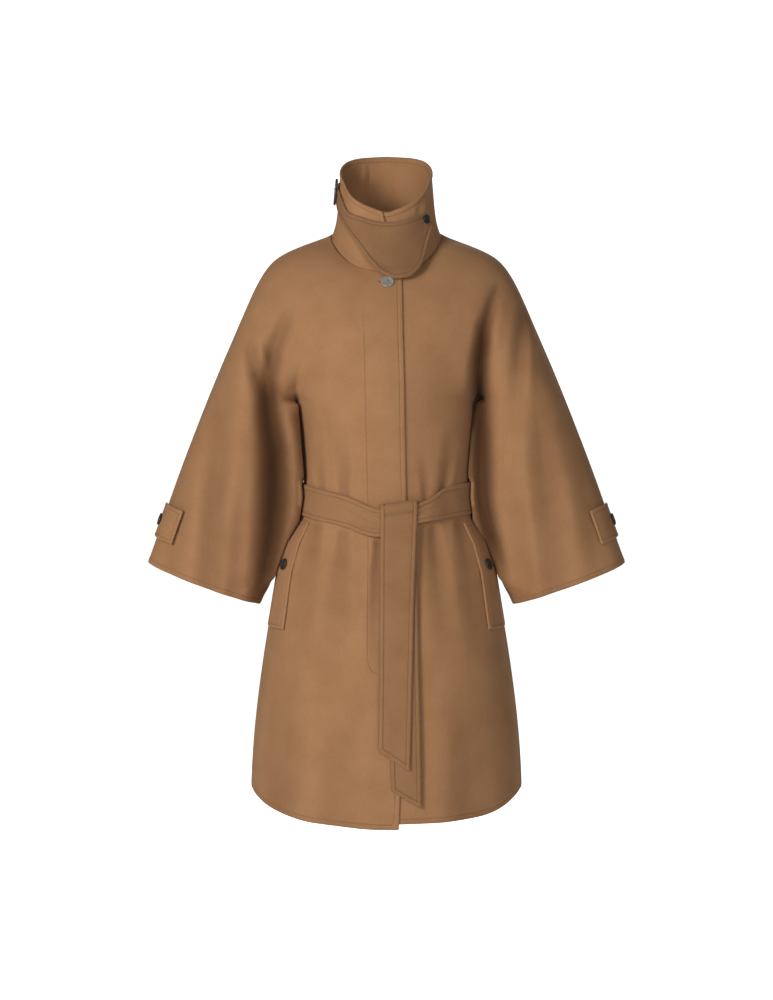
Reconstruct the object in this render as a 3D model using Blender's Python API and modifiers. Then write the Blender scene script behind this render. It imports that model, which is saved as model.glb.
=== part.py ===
# Belted wool cape coat with grown-on sleeves, a funnel collar and a collar flap.
# Metres, +Z up. The front faces -Y and the wearer's left is +X.
# The origin is the middle of the neck base at shoulder level.

import math
from collections import namedtuple

import bmesh
import bpy
import numpy as np

# Driving dimensions
WALL = 0.0025
SEAM_GAP = 0.0003
REST_GAP = 0.0006
BELT_WALL = 0.003
TRIM_WALL = 0.0022
LAP_LIFT = WALL + SEAM_GAP

CROTCH_X = 0.140
CROTCH_Z = -0.250
CHEST_FRONT_Z = -0.150
CHEST_BACK_Z = -0.125
ARMHOLE_TOP_X = 0.205
ARMHOLE_TOP_Z = -0.085
SLEEVE_TOP_X = 0.255
SLEEVE_TOP_Z = -0.200
CUFF_OUTER = (0.3700, -0.5020)
CUFF_INNER = (0.1960, -0.5670)
UNDERLAP_X = 0.035
LAP_COLUMNS_X = (0.015, 0.0, -0.0175)
LAP_FADE = (0.003, 0.050)

NECK_HALF_WIDTH = 0.085
NECK_FRONT = 0.080
NECK_BACK = 0.066
NECK_EDGE_Z = -0.055
NECK_SPREAD = 1.15

BODY_COLUMNS = 10
SLEEVE_COLUMNS = 8
ARMHOLE_ROWS = 6
SLEEVE_ROWS = (0.035, 0.17, 0.31, 0.45, 0.59, 0.73, 0.865, 1.0)
RIGHT_ANGLE = math.radians(90)
# Where the underarm fold starts on the wide sections, and how far round it the arch reaches
FOLD_ANGLE = math.asin(CROTCH_X / SLEEVE_TOP_X)
ARCH_REACH = 0.5
WALL_SHARP_ANGLE = math.radians(50)

# The body below the armhole, level by level
BodyLevel = namedtuple("BodyLevel", "z half_width front_depth back_depth")
BODY_LEVELS = (
    BodyLevel(-0.250, 0.1375, 0.1170, 0.1165),
    BodyLevel(-0.261, 0.1365, 0.1162, 0.1158),
    BodyLevel(-0.300, 0.1325, 0.1120, 0.1120),
    BodyLevel(-0.350, 0.1290, 0.104, 0.105),
    BodyLevel(-0.400, 0.1270, 0.098, 0.100),
    BodyLevel(-0.434, 0.1320, 0.100, 0.102),
    BodyLevel(-0.470, 0.1530, 0.107, 0.110),
    BodyLevel(-0.515, 0.1680, 0.118, 0.121),
    BodyLevel(-0.575, 0.1780, 0.129, 0.131),
    BodyLevel(-0.645, 0.1900, 0.139, 0.140),
    BodyLevel(-0.725, 0.2010, 0.147, 0.149),
    BodyLevel(-0.800, 0.2080, 0.153, 0.154),
    BodyLevel(-0.895, 0.2120, 0.157, 0.158),
)

# The yoke, from the neckline out to the top of the armhole
YokeRow = namedtuple("YokeRow", "front_z back_z shoulder_x shoulder_z front_depth back_depth")
YOKE_ROWS = (
    YokeRow(-0.076, -0.008, 0.110, -0.0070, 0.093, 0.082),
    YokeRow(-0.096, -0.035, 0.142, -0.0190, 0.103, 0.096),
    YokeRow(-0.115, -0.065, 0.172, -0.0330, 0.110, 0.107),
    YokeRow(-0.133, -0.095, 0.191, -0.0580, 0.115, 0.114),
    YokeRow(CHEST_FRONT_Z, CHEST_BACK_Z, ARMHOLE_TOP_X, ARMHOLE_TOP_Z, 0.118, 0.118),
)

# The sleeve, from the underarm (0) to the cuff (1)
SleeveRing = namedtuple("SleeveRing", "along inner_x inner_z outer_x outer_z front_depth back_depth")
SLEEVE_RINGS = (
    SleeveRing(0.00, 0.1430, CROTCH_Z, SLEEVE_TOP_X, SLEEVE_TOP_Z, 0.081, 0.081),
    SleeveRing(0.15, 0.1352, -0.300, 0.274, -0.2450, 0.080, 0.080),
    SleeveRing(0.35, 0.1325, -0.362, 0.298, -0.3060, 0.076, 0.076),
    SleeveRing(0.55, 0.1366, -0.425, 0.321, -0.3650, 0.072, 0.072),
    SleeveRing(0.67, 0.1532, -0.462, 0.334, -0.4020, 0.070, 0.070),
    SleeveRing(0.78, 0.1662, -0.495, 0.346, -0.4350, 0.067, 0.067),
    SleeveRing(0.90, 0.1805, -0.535, 0.359, -0.4720, 0.064, 0.064),
    SleeveRing(1.00, CUFF_INNER[0], CUFF_INNER[1], CUFF_OUTER[0], CUFF_OUTER[1], 0.062, 0.062),
)

# The edge of the upper front, along its length
EdgePoint = namedtuple("EdgePoint", "z x")
FRONT_EDGE = (
    EdgePoint(-0.910, 0.0165),
    EdgePoint(-0.840, 0.0206),
    EdgePoint(-0.430, 0.0300),
    EdgePoint(-0.338, 0.0281),
    EdgePoint(-0.050, 0.0225),
)

# The hem is level at the front and back and rises at the side seams
HEM_FRONT_UPPER_Z = -0.8930
HEM_FRONT_Z = -0.8850
HEM_BACK_Z = -0.8850
HEM_SIDE_Z = -0.8520
HEM_POWER = 6
HEM_STEP_ANGLE = 0.9

# The collar, from its base (0) to its rim (1)
CollarRow = namedtuple("CollarRow", "height half_width front_depth back_depth")
COLLAR_ROWS = (
    CollarRow(0.00, 0.0850, 0.0800, 0.0660),
    CollarRow(0.14, 0.0785, 0.0740, 0.0650),
    CollarRow(0.40, 0.0745, 0.0715, 0.0655),
    CollarRow(0.75, 0.0720, 0.0705, 0.0680),
    CollarRow(1.00, 0.0690, 0.0690, 0.0700),
)
# Heights of its base and rim round the neck. Angle 0 is the front and 180 the back
CollarEdge = namedtuple("CollarEdge", "angle base rim")
COLLAR_EDGES = (
    CollarEdge(0, -0.0570, 0.0335),
    CollarEdge(30, -0.0480, 0.0480),
    CollarEdge(45, -0.0370, 0.0590),
    CollarEdge(62, -0.0210, 0.0765),
    CollarEdge(75, -0.0095, 0.0890),
    CollarEdge(90, -0.0005, 0.0980),
    CollarEdge(105, 0.0045, 0.1080),
    CollarEdge(120, 0.0080, 0.1155),
    CollarEdge(150, 0.0110, 0.1230),
    CollarEdge(180, 0.0120, 0.1255),
)
# How far the upper end leans back at the rim, and its lift over the under end
COLLAR_UPPER_END_SHIFT = -0.030
COLLAR_LAP_LIFT = LAP_LIFT + 0.0006

# The flap and its strap, by angle round the collar from the front centre
FlapColumn = namedtuple("FlapColumn", "angle top bottom")
FLAP_COLUMNS = (
    FlapColumn(-116, 0.0860, 0.0590),
    FlapColumn(-104, 0.0840, 0.0570),
    FlapColumn(-90, 0.0790, 0.0520),
    FlapColumn(-76, 0.0680, 0.0410),
    FlapColumn(-62, 0.0530, 0.0270),
    FlapColumn(-50, 0.0370, 0.0120),
    FlapColumn(-40, 0.0320, 0.0000),
    FlapColumn(-27, 0.0270, -0.0180),
    FlapColumn(-14, 0.0220, -0.0400),
    FlapColumn(-3, 0.0200, -0.0560),
    FlapColumn(8, 0.0200, -0.0635),
    FlapColumn(18, 0.0225, -0.0610),
    FlapColumn(27, 0.0255, -0.0510),
    FlapColumn(36, 0.0290, -0.0350),
    FlapColumn(45, 0.0325, -0.0140),
    FlapColumn(54, 0.0340, 0.0060),
    FlapColumn(60, 0.0310, 0.0160),
)
FLAP_ROWS = 5
FLAP_STEP = 8
FLAP_REST = 0.0010
# The flap's point stands off by this much, growing down these heights and round these angles
FLAP_STAND = 0.014
FLAP_STAND_Z = (0.030, -0.063)
FLAP_STAND_ANGLES = (-62, -30)
# Its lift over the collar's lap: how the lap leans on the right, and where it ends on the left
FLAP_LAP_LEAN = 0.7
FLAP_LAP_ANGLES = (20, 50)

CHAPE_ANGLES = (-124, -160)
CHAPE_Z = (0.0850, 0.0580)
CHAPE_STEPS = 4

BUCKLE_HEIGHT = 0.041
BUCKLE_LENGTH = 0.034
BUCKLE_BAR = 0.0040
BUCKLE_Z = 0.0690
BUCKLE_STAND = 0.0038
BUCKLE_TILT = math.radians(5.5)
BUCKLE_BEVEL = 0.0008

# The belt at the waist, by x across the front
BeltPoint = namedtuple("BeltPoint", "x middle_z half_height")
BELT_FRONT = (
    BeltPoint(-0.130, -0.4030, 0.0235),
    BeltPoint(-0.060, -0.4170, 0.0225),
    BeltPoint(-0.008, -0.4332, 0.0205),
    BeltPoint(0.020, -0.4300, 0.0180),
    BeltPoint(0.043, -0.4200, 0.0142),
    BeltPoint(0.057, -0.4160, 0.0155),
    BeltPoint(0.090, -0.4050, 0.0228),
    BeltPoint(0.130, -0.4010, 0.0235),
)
BELT_BACK_Z = -0.4000
BELT_BACK_BLEND = 0.7
BELT_STAND = 0.0008
KNOT_STAND = 0.0042
KNOT_X = (-0.0500, -0.0130, 0.0600, 0.0950)

TAIL_COLUMNS = 4
# Lengths over which a tail's slanted end and top take shape
TAIL_END_SPAN = 0.080
TAIL_TOP_SPAN = (0.050, 0.015)
TailPoint = namedtuple("TailPoint", "z stand")
# Stand is the height of the tail's middle over the body
FRONT_TAIL = (
    TailPoint(-0.4700, 0.0134),
    TailPoint(-0.5150, 0.0108),
    TailPoint(-0.5750, 0.0094),
    TailPoint(-0.8000, 0.0091),
)
FRONT_TAIL_LEFT_X = (-0.0075, -0.0100)
FRONT_TAIL_RIGHT_X = (0.0425, 0.0335)
FRONT_TAIL_TOP_Z = -0.4052
FRONT_TAIL_SLANT = 0.0065
FRONT_TAIL_END = (-0.7730, -0.8030)
# Its turn over the belt's upper edge, and the levels at which it lies on the belt
HOOK_LENGTH = 0.014
HOOK_RISE = 0.0030
HOOK_STEPS = 6
FRONT_TAIL_BELT_Z = (-0.4340, -0.4560)
REAR_TAIL_TOP_Z = -0.4440
REAR_TAIL_STAND = 0.0052
REAR_TAIL_LEFT_X = (-0.0040, 0.0085)
REAR_TAIL_RIGHT_X = (0.0430, 0.0510)
REAR_TAIL_END = (-0.8340, -0.8600)

# Cuff tab, by angle round the sleeve. 90 is the overarm seam and more is the back
TAB_ALONG = (0.702, 0.867)
TAB_ANGLES = (45, 67.5, 90, 112.5)
TAB_STAND = (0.0006, 0.0006, 0.0016, 0.0040)
TAB_CORNER_ANGLE = 114.5
TAB_CORNER_STAND = 0.0044
TAB_CORNER_CUT = 0.015
TAB_POINT_ANGLE = 124
TAB_POINT_STAND = 0.0060
TAB_BUTTON_ANGLE = 84

# Pocket welts, on the fronts beside the side seams
WELT_Z = (-0.438, -0.470, -0.515, -0.575, -0.600)
WELT_COLUMNS = (BODY_COLUMNS - 2.3, BODY_COLUMNS - 2, BODY_COLUMNS - 1, BODY_COLUMNS - 0.2)
WELT_BUTTON_COLUMN = BODY_COLUMNS - 1.5
WELT_BUTTON_Z = -0.5035

ButtonSize = namedtuple("ButtonSize", "radius thickness")
FRONT_BUTTON = ButtonSize(0.0098, 0.0034)
COLLAR_BUTTON = ButtonSize(0.0072, 0.0030)
CUFF_BUTTON = ButtonSize(0.0096, 0.0034)
POCKET_BUTTON = ButtonSize(0.0092, 0.0034)
BUTTON_SIDES = 16
BUTTON_BACK_SHARE = 0.82
BUTTON_SHARP_ANGLE = math.radians(40)
# What a button keeps clear for the flat faces of the piece under it
FACET_GAP = 0.0004
FRONT_BUTTON_X = 0.0015
FRONT_BUTTON_Z = -0.0715
COLLAR_BUTTON_ANGLE = 51
COLLAR_BUTTON_Z = 0.0265


def smooth(value, start, end):
    """0 at start, 1 at end, with a soft curve between."""
    t = min(max((value - start) / (end - start), 0.0), 1.0)
    return t * t * (3 - 2 * t)


def read_table(rows, key, column, at):
    """One column of a table, on a smooth line through its rows."""
    rows = sorted(rows, key=lambda row: getattr(row, key))
    keys = np.array([getattr(row, key) for row in rows], float)
    values = np.array([getattr(row, column) for row in rows], float)
    slopes = np.diff(values) / np.diff(keys)
    tangents = np.zeros(len(keys))
    tangents[0], tangents[-1] = slopes[0], slopes[-1]
    for i in range(1, len(keys) - 1):
        if slopes[i - 1] * slopes[i] > 0:
            tangents[i] = 2 * slopes[i - 1] * slopes[i] / (slopes[i - 1] + slopes[i])
    at = min(max(at, keys[0]), keys[-1])
    i = min(int(np.searchsorted(keys, at, side="right")) - 1, len(keys) - 2)
    step = keys[i + 1] - keys[i]
    t = (at - keys[i]) / step
    return float(
        values[i] * (2 * t**3 - 3 * t**2 + 1)
        + tangents[i] * step * (t**3 - 2 * t**2 + t)
        + values[i + 1] * (3 * t**2 - 2 * t**3)
        + tangents[i + 1] * step * (t**3 - t**2)
    )


def read_straight(rows, key, column, at):
    """One column of a table, on straight lines between its rows."""
    rows = sorted(rows, key=lambda row: getattr(row, key))
    keys = [getattr(row, key) for row in rows]
    return float(np.interp(at, keys, [getattr(row, column) for row in rows]))


def front_edge_x(z):
    return read_table(FRONT_EDGE, "z", "x", z)


# The body's surface. "side" is -1 for the front and +1 for the back, and
# positions across are for the wearer's left half


def depth_column(side):
    return "front_depth" if side < 0 else "back_depth"


def body_size(z, side):
    """Half width and depth at a level, straight between the levels as the walls are."""
    width = read_straight(BODY_LEVELS, "z", "half_width", z)
    return width, read_straight(BODY_LEVELS, "z", depth_column(side), z)


def body_point(z, angle, side):
    width, depth = body_size(z, side)
    return np.array([width * math.sin(angle), side * depth * math.cos(angle), z])


def body_at_x(x, z, side=-1):
    """The body's surface at a place across the front, with its level normal."""
    width, depth = body_size(z, side)
    angle = math.asin(min(max(x / width, -1), 1))
    point = np.array([x, side * depth * math.cos(angle), z])
    normal = np.array([math.sin(angle) / width, side * math.cos(angle) / depth, 0])
    return point, normal / np.linalg.norm(normal)


def hem_z(angle, side, upper=False):
    low = HEM_BACK_Z
    if side < 0:
        low = HEM_FRONT_UPPER_Z if upper else HEM_FRONT_Z
        if upper:
            low += (HEM_FRONT_Z - HEM_FRONT_UPPER_Z) * smooth(angle, 0, HEM_STEP_ANGLE)
    return low + (HEM_SIDE_Z - low) * abs(math.sin(angle)) ** HEM_POWER


def collar_edge(angle, column):
    return read_table(COLLAR_EDGES, "angle", column, abs(math.degrees(angle)))


def neck_point(angle, side):
    """The neckline, by the angle from the centre of the front or the back."""
    depth = NECK_FRONT if side < 0 else NECK_BACK
    round_angle = angle if side < 0 else math.pi - angle
    base = collar_edge(round_angle, "base")
    return np.array([NECK_HALF_WIDTH * math.sin(angle), side * depth * math.cos(angle), base])


def wide_point(angle, centre_z, shoulder_x, shoulder_z, depth, side):
    """A section that runs from the centre out to the shoulder or overarm seam."""
    z = centre_z + (shoulder_z - centre_z) * math.sin(angle) ** 2
    return np.array([shoulder_x * math.sin(angle), side * depth * math.cos(angle), z])


def ring_point(inner, outer, depth, angle):
    """A ring from its inner (x, z) at -90 degrees to its outer (x, z) at 90."""
    share = (1 + math.sin(angle)) / 2
    x, z = (a + (b - a) * share for a, b in zip(inner, outer))
    return np.array([x, depth * math.cos(angle), z])


def sleeve_point(along, angle, side=-1):
    """The sleeve. -90 degrees is the underarm seam and 90 the overarm seam."""
    inner, outer = (
        [read_table(SLEEVE_RINGS, "along", f"{end}_{axis}", along) for axis in "xz"]
        for end in ("inner", "outer")
    )
    depth = read_table(SLEEVE_RINGS, "along", depth_column(side), along)
    return ring_point(inner, outer, side * depth, angle)


# Panels


def column_angles(place, first_angles, count, last):
    """Angles across the body: the given first ones, then even steps out to the last."""
    angles = list(first_angles(place))
    steps = count - len(angles) + 1
    start = angles[-1]
    return angles + [start + (last - start) * i / steps for i in range(1, steps + 1)]


def sleeve_column_angles():
    """Angles of the sleeve's columns on the wide sections, above where the sleeve's top ring has them."""
    middle, half = (CROTCH_X + SLEEVE_TOP_X) / 2, (SLEEVE_TOP_X - CROTCH_X) / 2
    return [
        math.asin((middle - half * math.cos(math.pi * i / SLEEVE_COLUMNS)) / SLEEVE_TOP_X)
        for i in range(1, SLEEVE_COLUMNS + 1)
    ]


def parting(column, turn):
    """Share of a column's move from the wide section to the parted one. The underarm follows an arch."""
    if column < BODY_COLUMNS:
        away = (BODY_COLUMNS - column) / BODY_COLUMNS
    else:
        away = (column - BODY_COLUMNS) / SLEEVE_COLUMNS
    near = 1 - smooth(away, 0, ARCH_REACH)
    return near * (1 - math.cos(turn)) + (1 - near) * smooth(math.sin(turn), 0, 1)


def panel_grid(side, first_angles, hem):
    """Points of one half of the front or back: upper rows, body rows and sleeve rows."""
    outward = sleeve_column_angles()
    upper = []
    neck = column_angles(
        (NECK_HALF_WIDTH, NECK_EDGE_Z), first_angles, BODY_COLUMNS, FOLD_ANGLE * NECK_SPREAD
    )
    spread = (RIGHT_ANGLE - neck[-1]) / (RIGHT_ANGLE - FOLD_ANGLE)
    neck += [RIGHT_ANGLE - (RIGHT_ANGLE - angle) * spread for angle in outward]
    upper.append([neck_point(angle, side) for angle in neck])

    def wide_angles(width, z):
        return column_angles((width, z), first_angles, BODY_COLUMNS, FOLD_ANGLE) + outward

    for row in YOKE_ROWS:
        centre_z = row.front_z if side < 0 else row.back_z
        depth = getattr(row, depth_column(side))
        upper.append([
            wide_point(angle, centre_z, row.shoulder_x, row.shoulder_z, depth, side)
            for angle in wide_angles(row.shoulder_x, centre_z)
        ])
    last = YOKE_ROWS[-1]
    first_z = last.front_z if side < 0 else last.back_z
    first_depth = getattr(last, depth_column(side))
    body_depth = getattr(BODY_LEVELS[0], depth_column(side))
    sleeve_angles = [-RIGHT_ANGLE + math.pi * i / SLEEVE_COLUMNS for i in range(1, SLEEVE_COLUMNS + 1)]
    crotch_place = (BODY_LEVELS[0].half_width, CROTCH_Z)
    for row in range(1, ARMHOLE_ROWS + 1):
        turn = RIGHT_ANGLE * row / ARMHOLE_ROWS
        down = math.sin(turn)
        centre_z = first_z + (CROTCH_Z - first_z) * down
        outer_x = ARMHOLE_TOP_X + (SLEEVE_TOP_X - ARMHOLE_TOP_X) * down
        outer_z = ARMHOLE_TOP_Z + (SLEEVE_TOP_Z - ARMHOLE_TOP_Z) * down
        depth = first_depth + (body_depth - first_depth) * down
        joined = [
            wide_point(angle, centre_z, outer_x, outer_z, depth, side)
            for angle in wide_angles(outer_x, centre_z)
        ]
        parted = [
            body_point(CROTCH_Z, angle, side) * (1, 1, 0) + (0, 0, centre_z)
            for angle in column_angles(crotch_place, first_angles, BODY_COLUMNS, RIGHT_ANGLE)[:-1]
        ]
        parted.append(np.array([CROTCH_X, 0, centre_z]))
        inner, ring_depth = (SLEEVE_RINGS[0].inner_x, centre_z), getattr(SLEEVE_RINGS[0], depth_column(side))
        parted += [
            ring_point(inner, (outer_x, outer_z), side * ring_depth, angle) for angle in sleeve_angles
        ]
        shares = [parting(column, turn) for column in range(len(joined))]
        upper.append([a * (1 - share) + b * share for a, b, share in zip(joined, parted, shares)])

    body = []
    for level in BODY_LEVELS[1:-1]:
        angles = column_angles((level.half_width, level.z), first_angles, BODY_COLUMNS, RIGHT_ANGLE)
        body.append([body_point(level.z, angle, side) for angle in angles])
    width = BODY_LEVELS[-1].half_width
    angles = column_angles((width, hem(0)), first_angles, BODY_COLUMNS, RIGHT_ANGLE)
    body.append([body_point(hem(angle), angle, side) for angle in angles])

    sleeve = [
        [sleeve_point(along, angle, side) for angle in [-RIGHT_ANGLE] + sleeve_angles]
        for along in SLEEVE_ROWS
    ]
    return upper, body, sleeve


def grid_faces(rows):
    """Four-sided faces between rows of point numbers."""
    return [
        (above[i], below[i], below[i + 1], above[i + 1])
        for above, below in zip(rows, rows[1:])
        for i in range(len(above) - 1)
    ]


def numbered(rows, points):
    """Adds the rows' points to the list and gives their numbers."""
    numbers = []
    for row in rows:
        numbers.append(list(range(len(points), len(points) + len(row))))
        points.extend(row)
    return numbers


def surface_normals(points, faces):
    normals = np.zeros((len(points), 3))
    for face in faces:
        a, b, c, d = (points[i] for i in face)
        normal = np.cross(c - a, d - b)
        for i in face:
            normals[i] += normal
    return normals


def unit(vectors):
    return vectors / np.linalg.norm(vectors, axis=1)[:, None]


def border_edges(faces):
    """Edges that one face uses, in that face's direction."""
    edges = {}
    for face in faces:
        for a, b in zip(face, face[1:] + face[:1]):
            edges[(a, b)] = True
    return [edge for edge in edges if (edge[1], edge[0]) not in edges]


def halved(points, faces):
    """Each four-sided face as two triangles, cut across its shorter way."""
    triangles = []
    for a, b, c, d in faces:
        if np.linalg.norm(points[a] - points[c]) <= np.linalg.norm(points[b] - points[d]):
            triangles += [(a, b, c), (a, c, d)]
        else:
            triangles += [(a, b, d), (b, c, d)]
    return triangles


def wall_mesh(name, outer, inner, faces, open_at_centre=False):
    """A wall between two like surfaces, closed round its border. Both are halved the same way."""
    count = len(outer)
    faces = halved(outer, faces)
    sides = [
        (b, a, a + count, b + count)
        for a, b in border_edges(faces)
        if not (open_at_centre and abs(outer[a][0]) < 1e-6 and abs(outer[b][0]) < 1e-6)
    ]
    back = [tuple(i + count for i in reversed(face)) for face in faces]
    mesh = bpy.data.meshes.new(name)
    points = [tuple(float(v) for v in point) for point in [*outer, *inner]]
    mesh.from_pydata(points, [], [*faces, *back, *sides])
    shape = bmesh.new()
    shape.from_mesh(mesh)
    bmesh.ops.recalc_face_normals(shape, faces=shape.faces)
    shape.to_mesh(mesh)
    shape.free()
    mesh.shade_smooth()
    mesh.set_sharp_from_angle(angle=WALL_SHARP_ANGLE)
    return mesh


def add_object(name, mesh, material, collection):
    obj = bpy.data.objects.new(name, mesh)
    mesh.materials.append(material)
    collection.objects.link(obj)
    return obj


def garment_panel(side, first_angles, hem, hand):
    """Outer points, outward normals and faces of one half panel. hand is +1 for the wearer's left."""
    upper, body, sleeve = panel_grid(side, first_angles, hem)
    points = []
    upper_ids = numbered(upper, points)
    body_ids = [upper_ids[-1][: BODY_COLUMNS + 1]] + numbered(body, points)
    sleeve_ids = [upper_ids[-1][BODY_COLUMNS:]] + numbered(sleeve, points)
    faces = grid_faces(upper_ids) + grid_faces(body_ids) + grid_faces(sleeve_ids)
    points = np.array(points)
    normals = surface_normals(points, faces) * -side
    seam = np.abs(points[:, 1]) < 1e-6
    normals[seam, 1] = 0
    centre = np.abs(points[:, 0]) < 1e-6
    if side > 0:
        normals[centre, 0] = 0
    normals[upper_ids[-1][BODY_COLUMNS]] = (0, 0, -1)
    normals = unit(normals)
    points[:, 0] *= hand
    normals[:, 0] *= hand
    return points, normals, faces


def part_at_seam(points, side):
    """Keeps a panel half a seam gap on its own side of the shoulder and side seams."""
    half = SEAM_GAP / 2
    points[:, 1] = np.minimum(points[:, 1], -half) if side < 0 else np.maximum(points[:, 1], half)
    return points


def lap(across):
    """Share of the lap's lift at a place across the upper front, from its centre."""
    return 1 - smooth(across, UNDERLAP_X + LAP_FADE[0], UNDERLAP_X + LAP_FADE[1])


def lap_angles(upper, width, z):
    """Angles of the columns at the front lap. Both fronts have them at the same x."""
    across = (front_edge_x(z), *LAP_COLUMNS_X, -UNDERLAP_X)
    if upper:
        return [math.asin(-x / width) for x in across]
    return [math.asin(x / width) for x in reversed(across)]


def front_panel(upper):
    """Points, normals and faces of a front, with the upper one raised at the lap."""
    hand = -1 if upper else 1
    points, normals, faces = garment_panel(
        -1,
        lambda place: lap_angles(upper, *place),
        lambda angle: hem_z(angle, -1, upper),
        hand,
    )
    if upper:
        lift = np.array([lap(x * hand) * LAP_LIFT for x in points[:, 0]])
        points = points + normals * lift[:, None]
    return points, normals, faces


def back_panel():
    return garment_panel(1, lambda _place: [0.0], lambda angle: hem_z(angle, 1), 1)


def front_grid_point(z, column, upper):
    """A place on a front's own faces between its columns, and the outward normal there."""
    levels = [level.z for level in BODY_LEVELS]
    row = max(i for i, level in enumerate(levels[:-1]) if z <= level + 1e-9)
    first = min(int(column), BODY_COLUMNS - 1)

    def corner(level, number):
        width, _depth = body_size(level, -1)
        angles = column_angles(
            (width, level), lambda place: lap_angles(upper, *place), BODY_COLUMNS, RIGHT_ANGLE
        )
        return body_point(level, angles[number], -1)

    share = (levels[row] - z) / (levels[row] - levels[row + 1])
    left = corner(levels[row], first) * (1 - share) + corner(levels[row + 1], first) * share
    right = corner(levels[row], first + 1) * (1 - share) + corner(levels[row + 1], first + 1) * share
    down = corner(levels[row + 1], first) - corner(levels[row], first)
    normal = np.cross(down, right - left)
    normal *= np.sign(normal[0]) / np.linalg.norm(normal)
    mirror = np.array([-1 if upper else 1, 1, 1])
    return (left + (right - left) * (column - first)) * mirror, normal * mirror


def make_front(name, upper, material, collection):
    points, normals, faces = front_panel(upper)
    outer = part_at_seam(points.copy(), -1)
    inner = part_at_seam(points - normals * WALL, -1)
    return add_object(name, wall_mesh(name, outer, inner, faces), material, collection)


def make_back(name, material, collection):
    points, normals, faces = back_panel()
    outer = part_at_seam(points.copy(), 1)
    inner = part_at_seam(points - normals * WALL, 1)
    back = add_object(name, wall_mesh(name, outer, inner, faces, True), material, collection)
    mirror = back.modifiers.new("Mirror", "MIRROR")
    mirror.merge_threshold = 0.0001
    return back


# Collar


def collar_point(angle, height):
    """The collar's outer side. Angle 0 is the front centre, +90 the wearer's left."""
    round_angle = abs((math.degrees(angle) + 180) % 360 - 180)
    column = "front_depth" if round_angle < 90 else "back_depth"
    width = read_table(COLLAR_ROWS, "height", "half_width", height)
    depth = read_table(COLLAR_ROWS, "height", column, height)
    base = read_table(COLLAR_EDGES, "angle", "base", round_angle)
    rim = read_table(COLLAR_EDGES, "angle", "rim", round_angle)
    return np.array([width * math.sin(angle), -depth * math.cos(angle), base + (rim - base) * height])


def collar_at_z(angle, z):
    """The collar's outer side at a level, straight down below its base, with its level normal."""
    round_angle = abs((math.degrees(angle) + 180) % 360 - 180)
    base = read_table(COLLAR_EDGES, "angle", "base", round_angle)
    rim = read_table(COLLAR_EDGES, "angle", "rim", round_angle)
    height = min(max((z - base) / (rim - base), 0), 1)
    point = collar_point(angle, height)
    point[2] = z
    ahead = collar_point(angle + 0.01, height) - collar_point(angle - 0.01, height)
    normal = np.array([ahead[1], -ahead[0], 0])
    return point, normal / np.linalg.norm(normal)


def neckline():
    """The panels' neckline points from the upper end, past the wearer's right and back, to the under end."""
    count = BODY_COLUMNS + SLEEVE_COLUMNS
    right = list(front_panel(True)[0][: count + 1])
    left = list(front_panel(False)[0][: count + 1])
    back = list(back_panel()[0][: count + 1])
    mirrored = [point * (-1, 1, 1) for point in back]
    return right + mirrored[-2::-1] + back[1:-1] + left[::-1]


def make_collar(name, material, collection):
    base = neckline()
    side = BODY_COLUMNS + SLEEVE_COLUMNS
    rows = []
    for row in COLLAR_ROWS:
        line = []
        for i, point in enumerate(base):
            angle = math.atan2(point[0] / NECK_HALF_WIDTH, -point[1] / NECK_FRONT)
            if point[1] > 0:
                angle = math.atan2(point[0] / NECK_HALF_WIDTH, -point[1] / NECK_BACK)
            if i < side:
                # The upper end leans more the nearer it is to the lap
                lean = COLLAR_UPPER_END_SHIFT / NECK_HALF_WIDTH * (1 - smooth(-angle, 0, RIGHT_ANGLE))
                angle += lean * row.height
            placed = collar_point(angle, row.height)
            if i < side:
                normal = placed * (1, 1, 0)
                placed = placed + normal / np.linalg.norm(normal) * lap(-point[0]) * COLLAR_LAP_LIFT
            if row.height == 0:
                placed[2] = point[2] + SEAM_GAP
            line.append(placed)
        rows.append(line)
    points = []
    ids = numbered(rows, points)
    faces = grid_faces(ids)
    points = np.array(points)
    normals = surface_normals(points, faces)
    normals[np.einsum("ij,ij->i", normals, points * (1, 1, 0)) < 0] *= -1
    normals[ids[0], 2] = 0
    normals = unit(normals)
    return add_object(name, wall_mesh(name, points, points - normals * WALL, faces), material, collection)


def strip_mesh(name, rows, wall):
    """A wall over a grid of (point, outward normal) pairs, with its inner side on the points."""
    points, ids = [], []
    for row in rows:
        ids.append(list(range(len(points), len(points) + len(row))))
        points.extend(row)
    inner = np.array([point for point, _ in points])
    outer = np.array([point + normal * wall for point, normal in points])
    return wall_mesh(name, outer, inner, grid_faces(ids))


def flap_lift(angle):
    """How far the flap stands off for the collar's lap beneath it."""
    if angle < 0:
        leaned = math.radians(angle * FLAP_LAP_LEAN)
        return COLLAR_LAP_LIFT * lap(-COLLAR_ROWS[0].half_width * math.sin(leaned))
    return COLLAR_LAP_LIFT * (1 - smooth(angle, *FLAP_LAP_ANGLES))


def flap_stand(angle, z):
    """How far the flap's inner side stands off the collar."""
    low = smooth(z, *FLAP_STAND_Z) * smooth(angle, *FLAP_STAND_ANGLES)
    return FLAP_REST + FLAP_STAND * low + flap_lift(angle)


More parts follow.
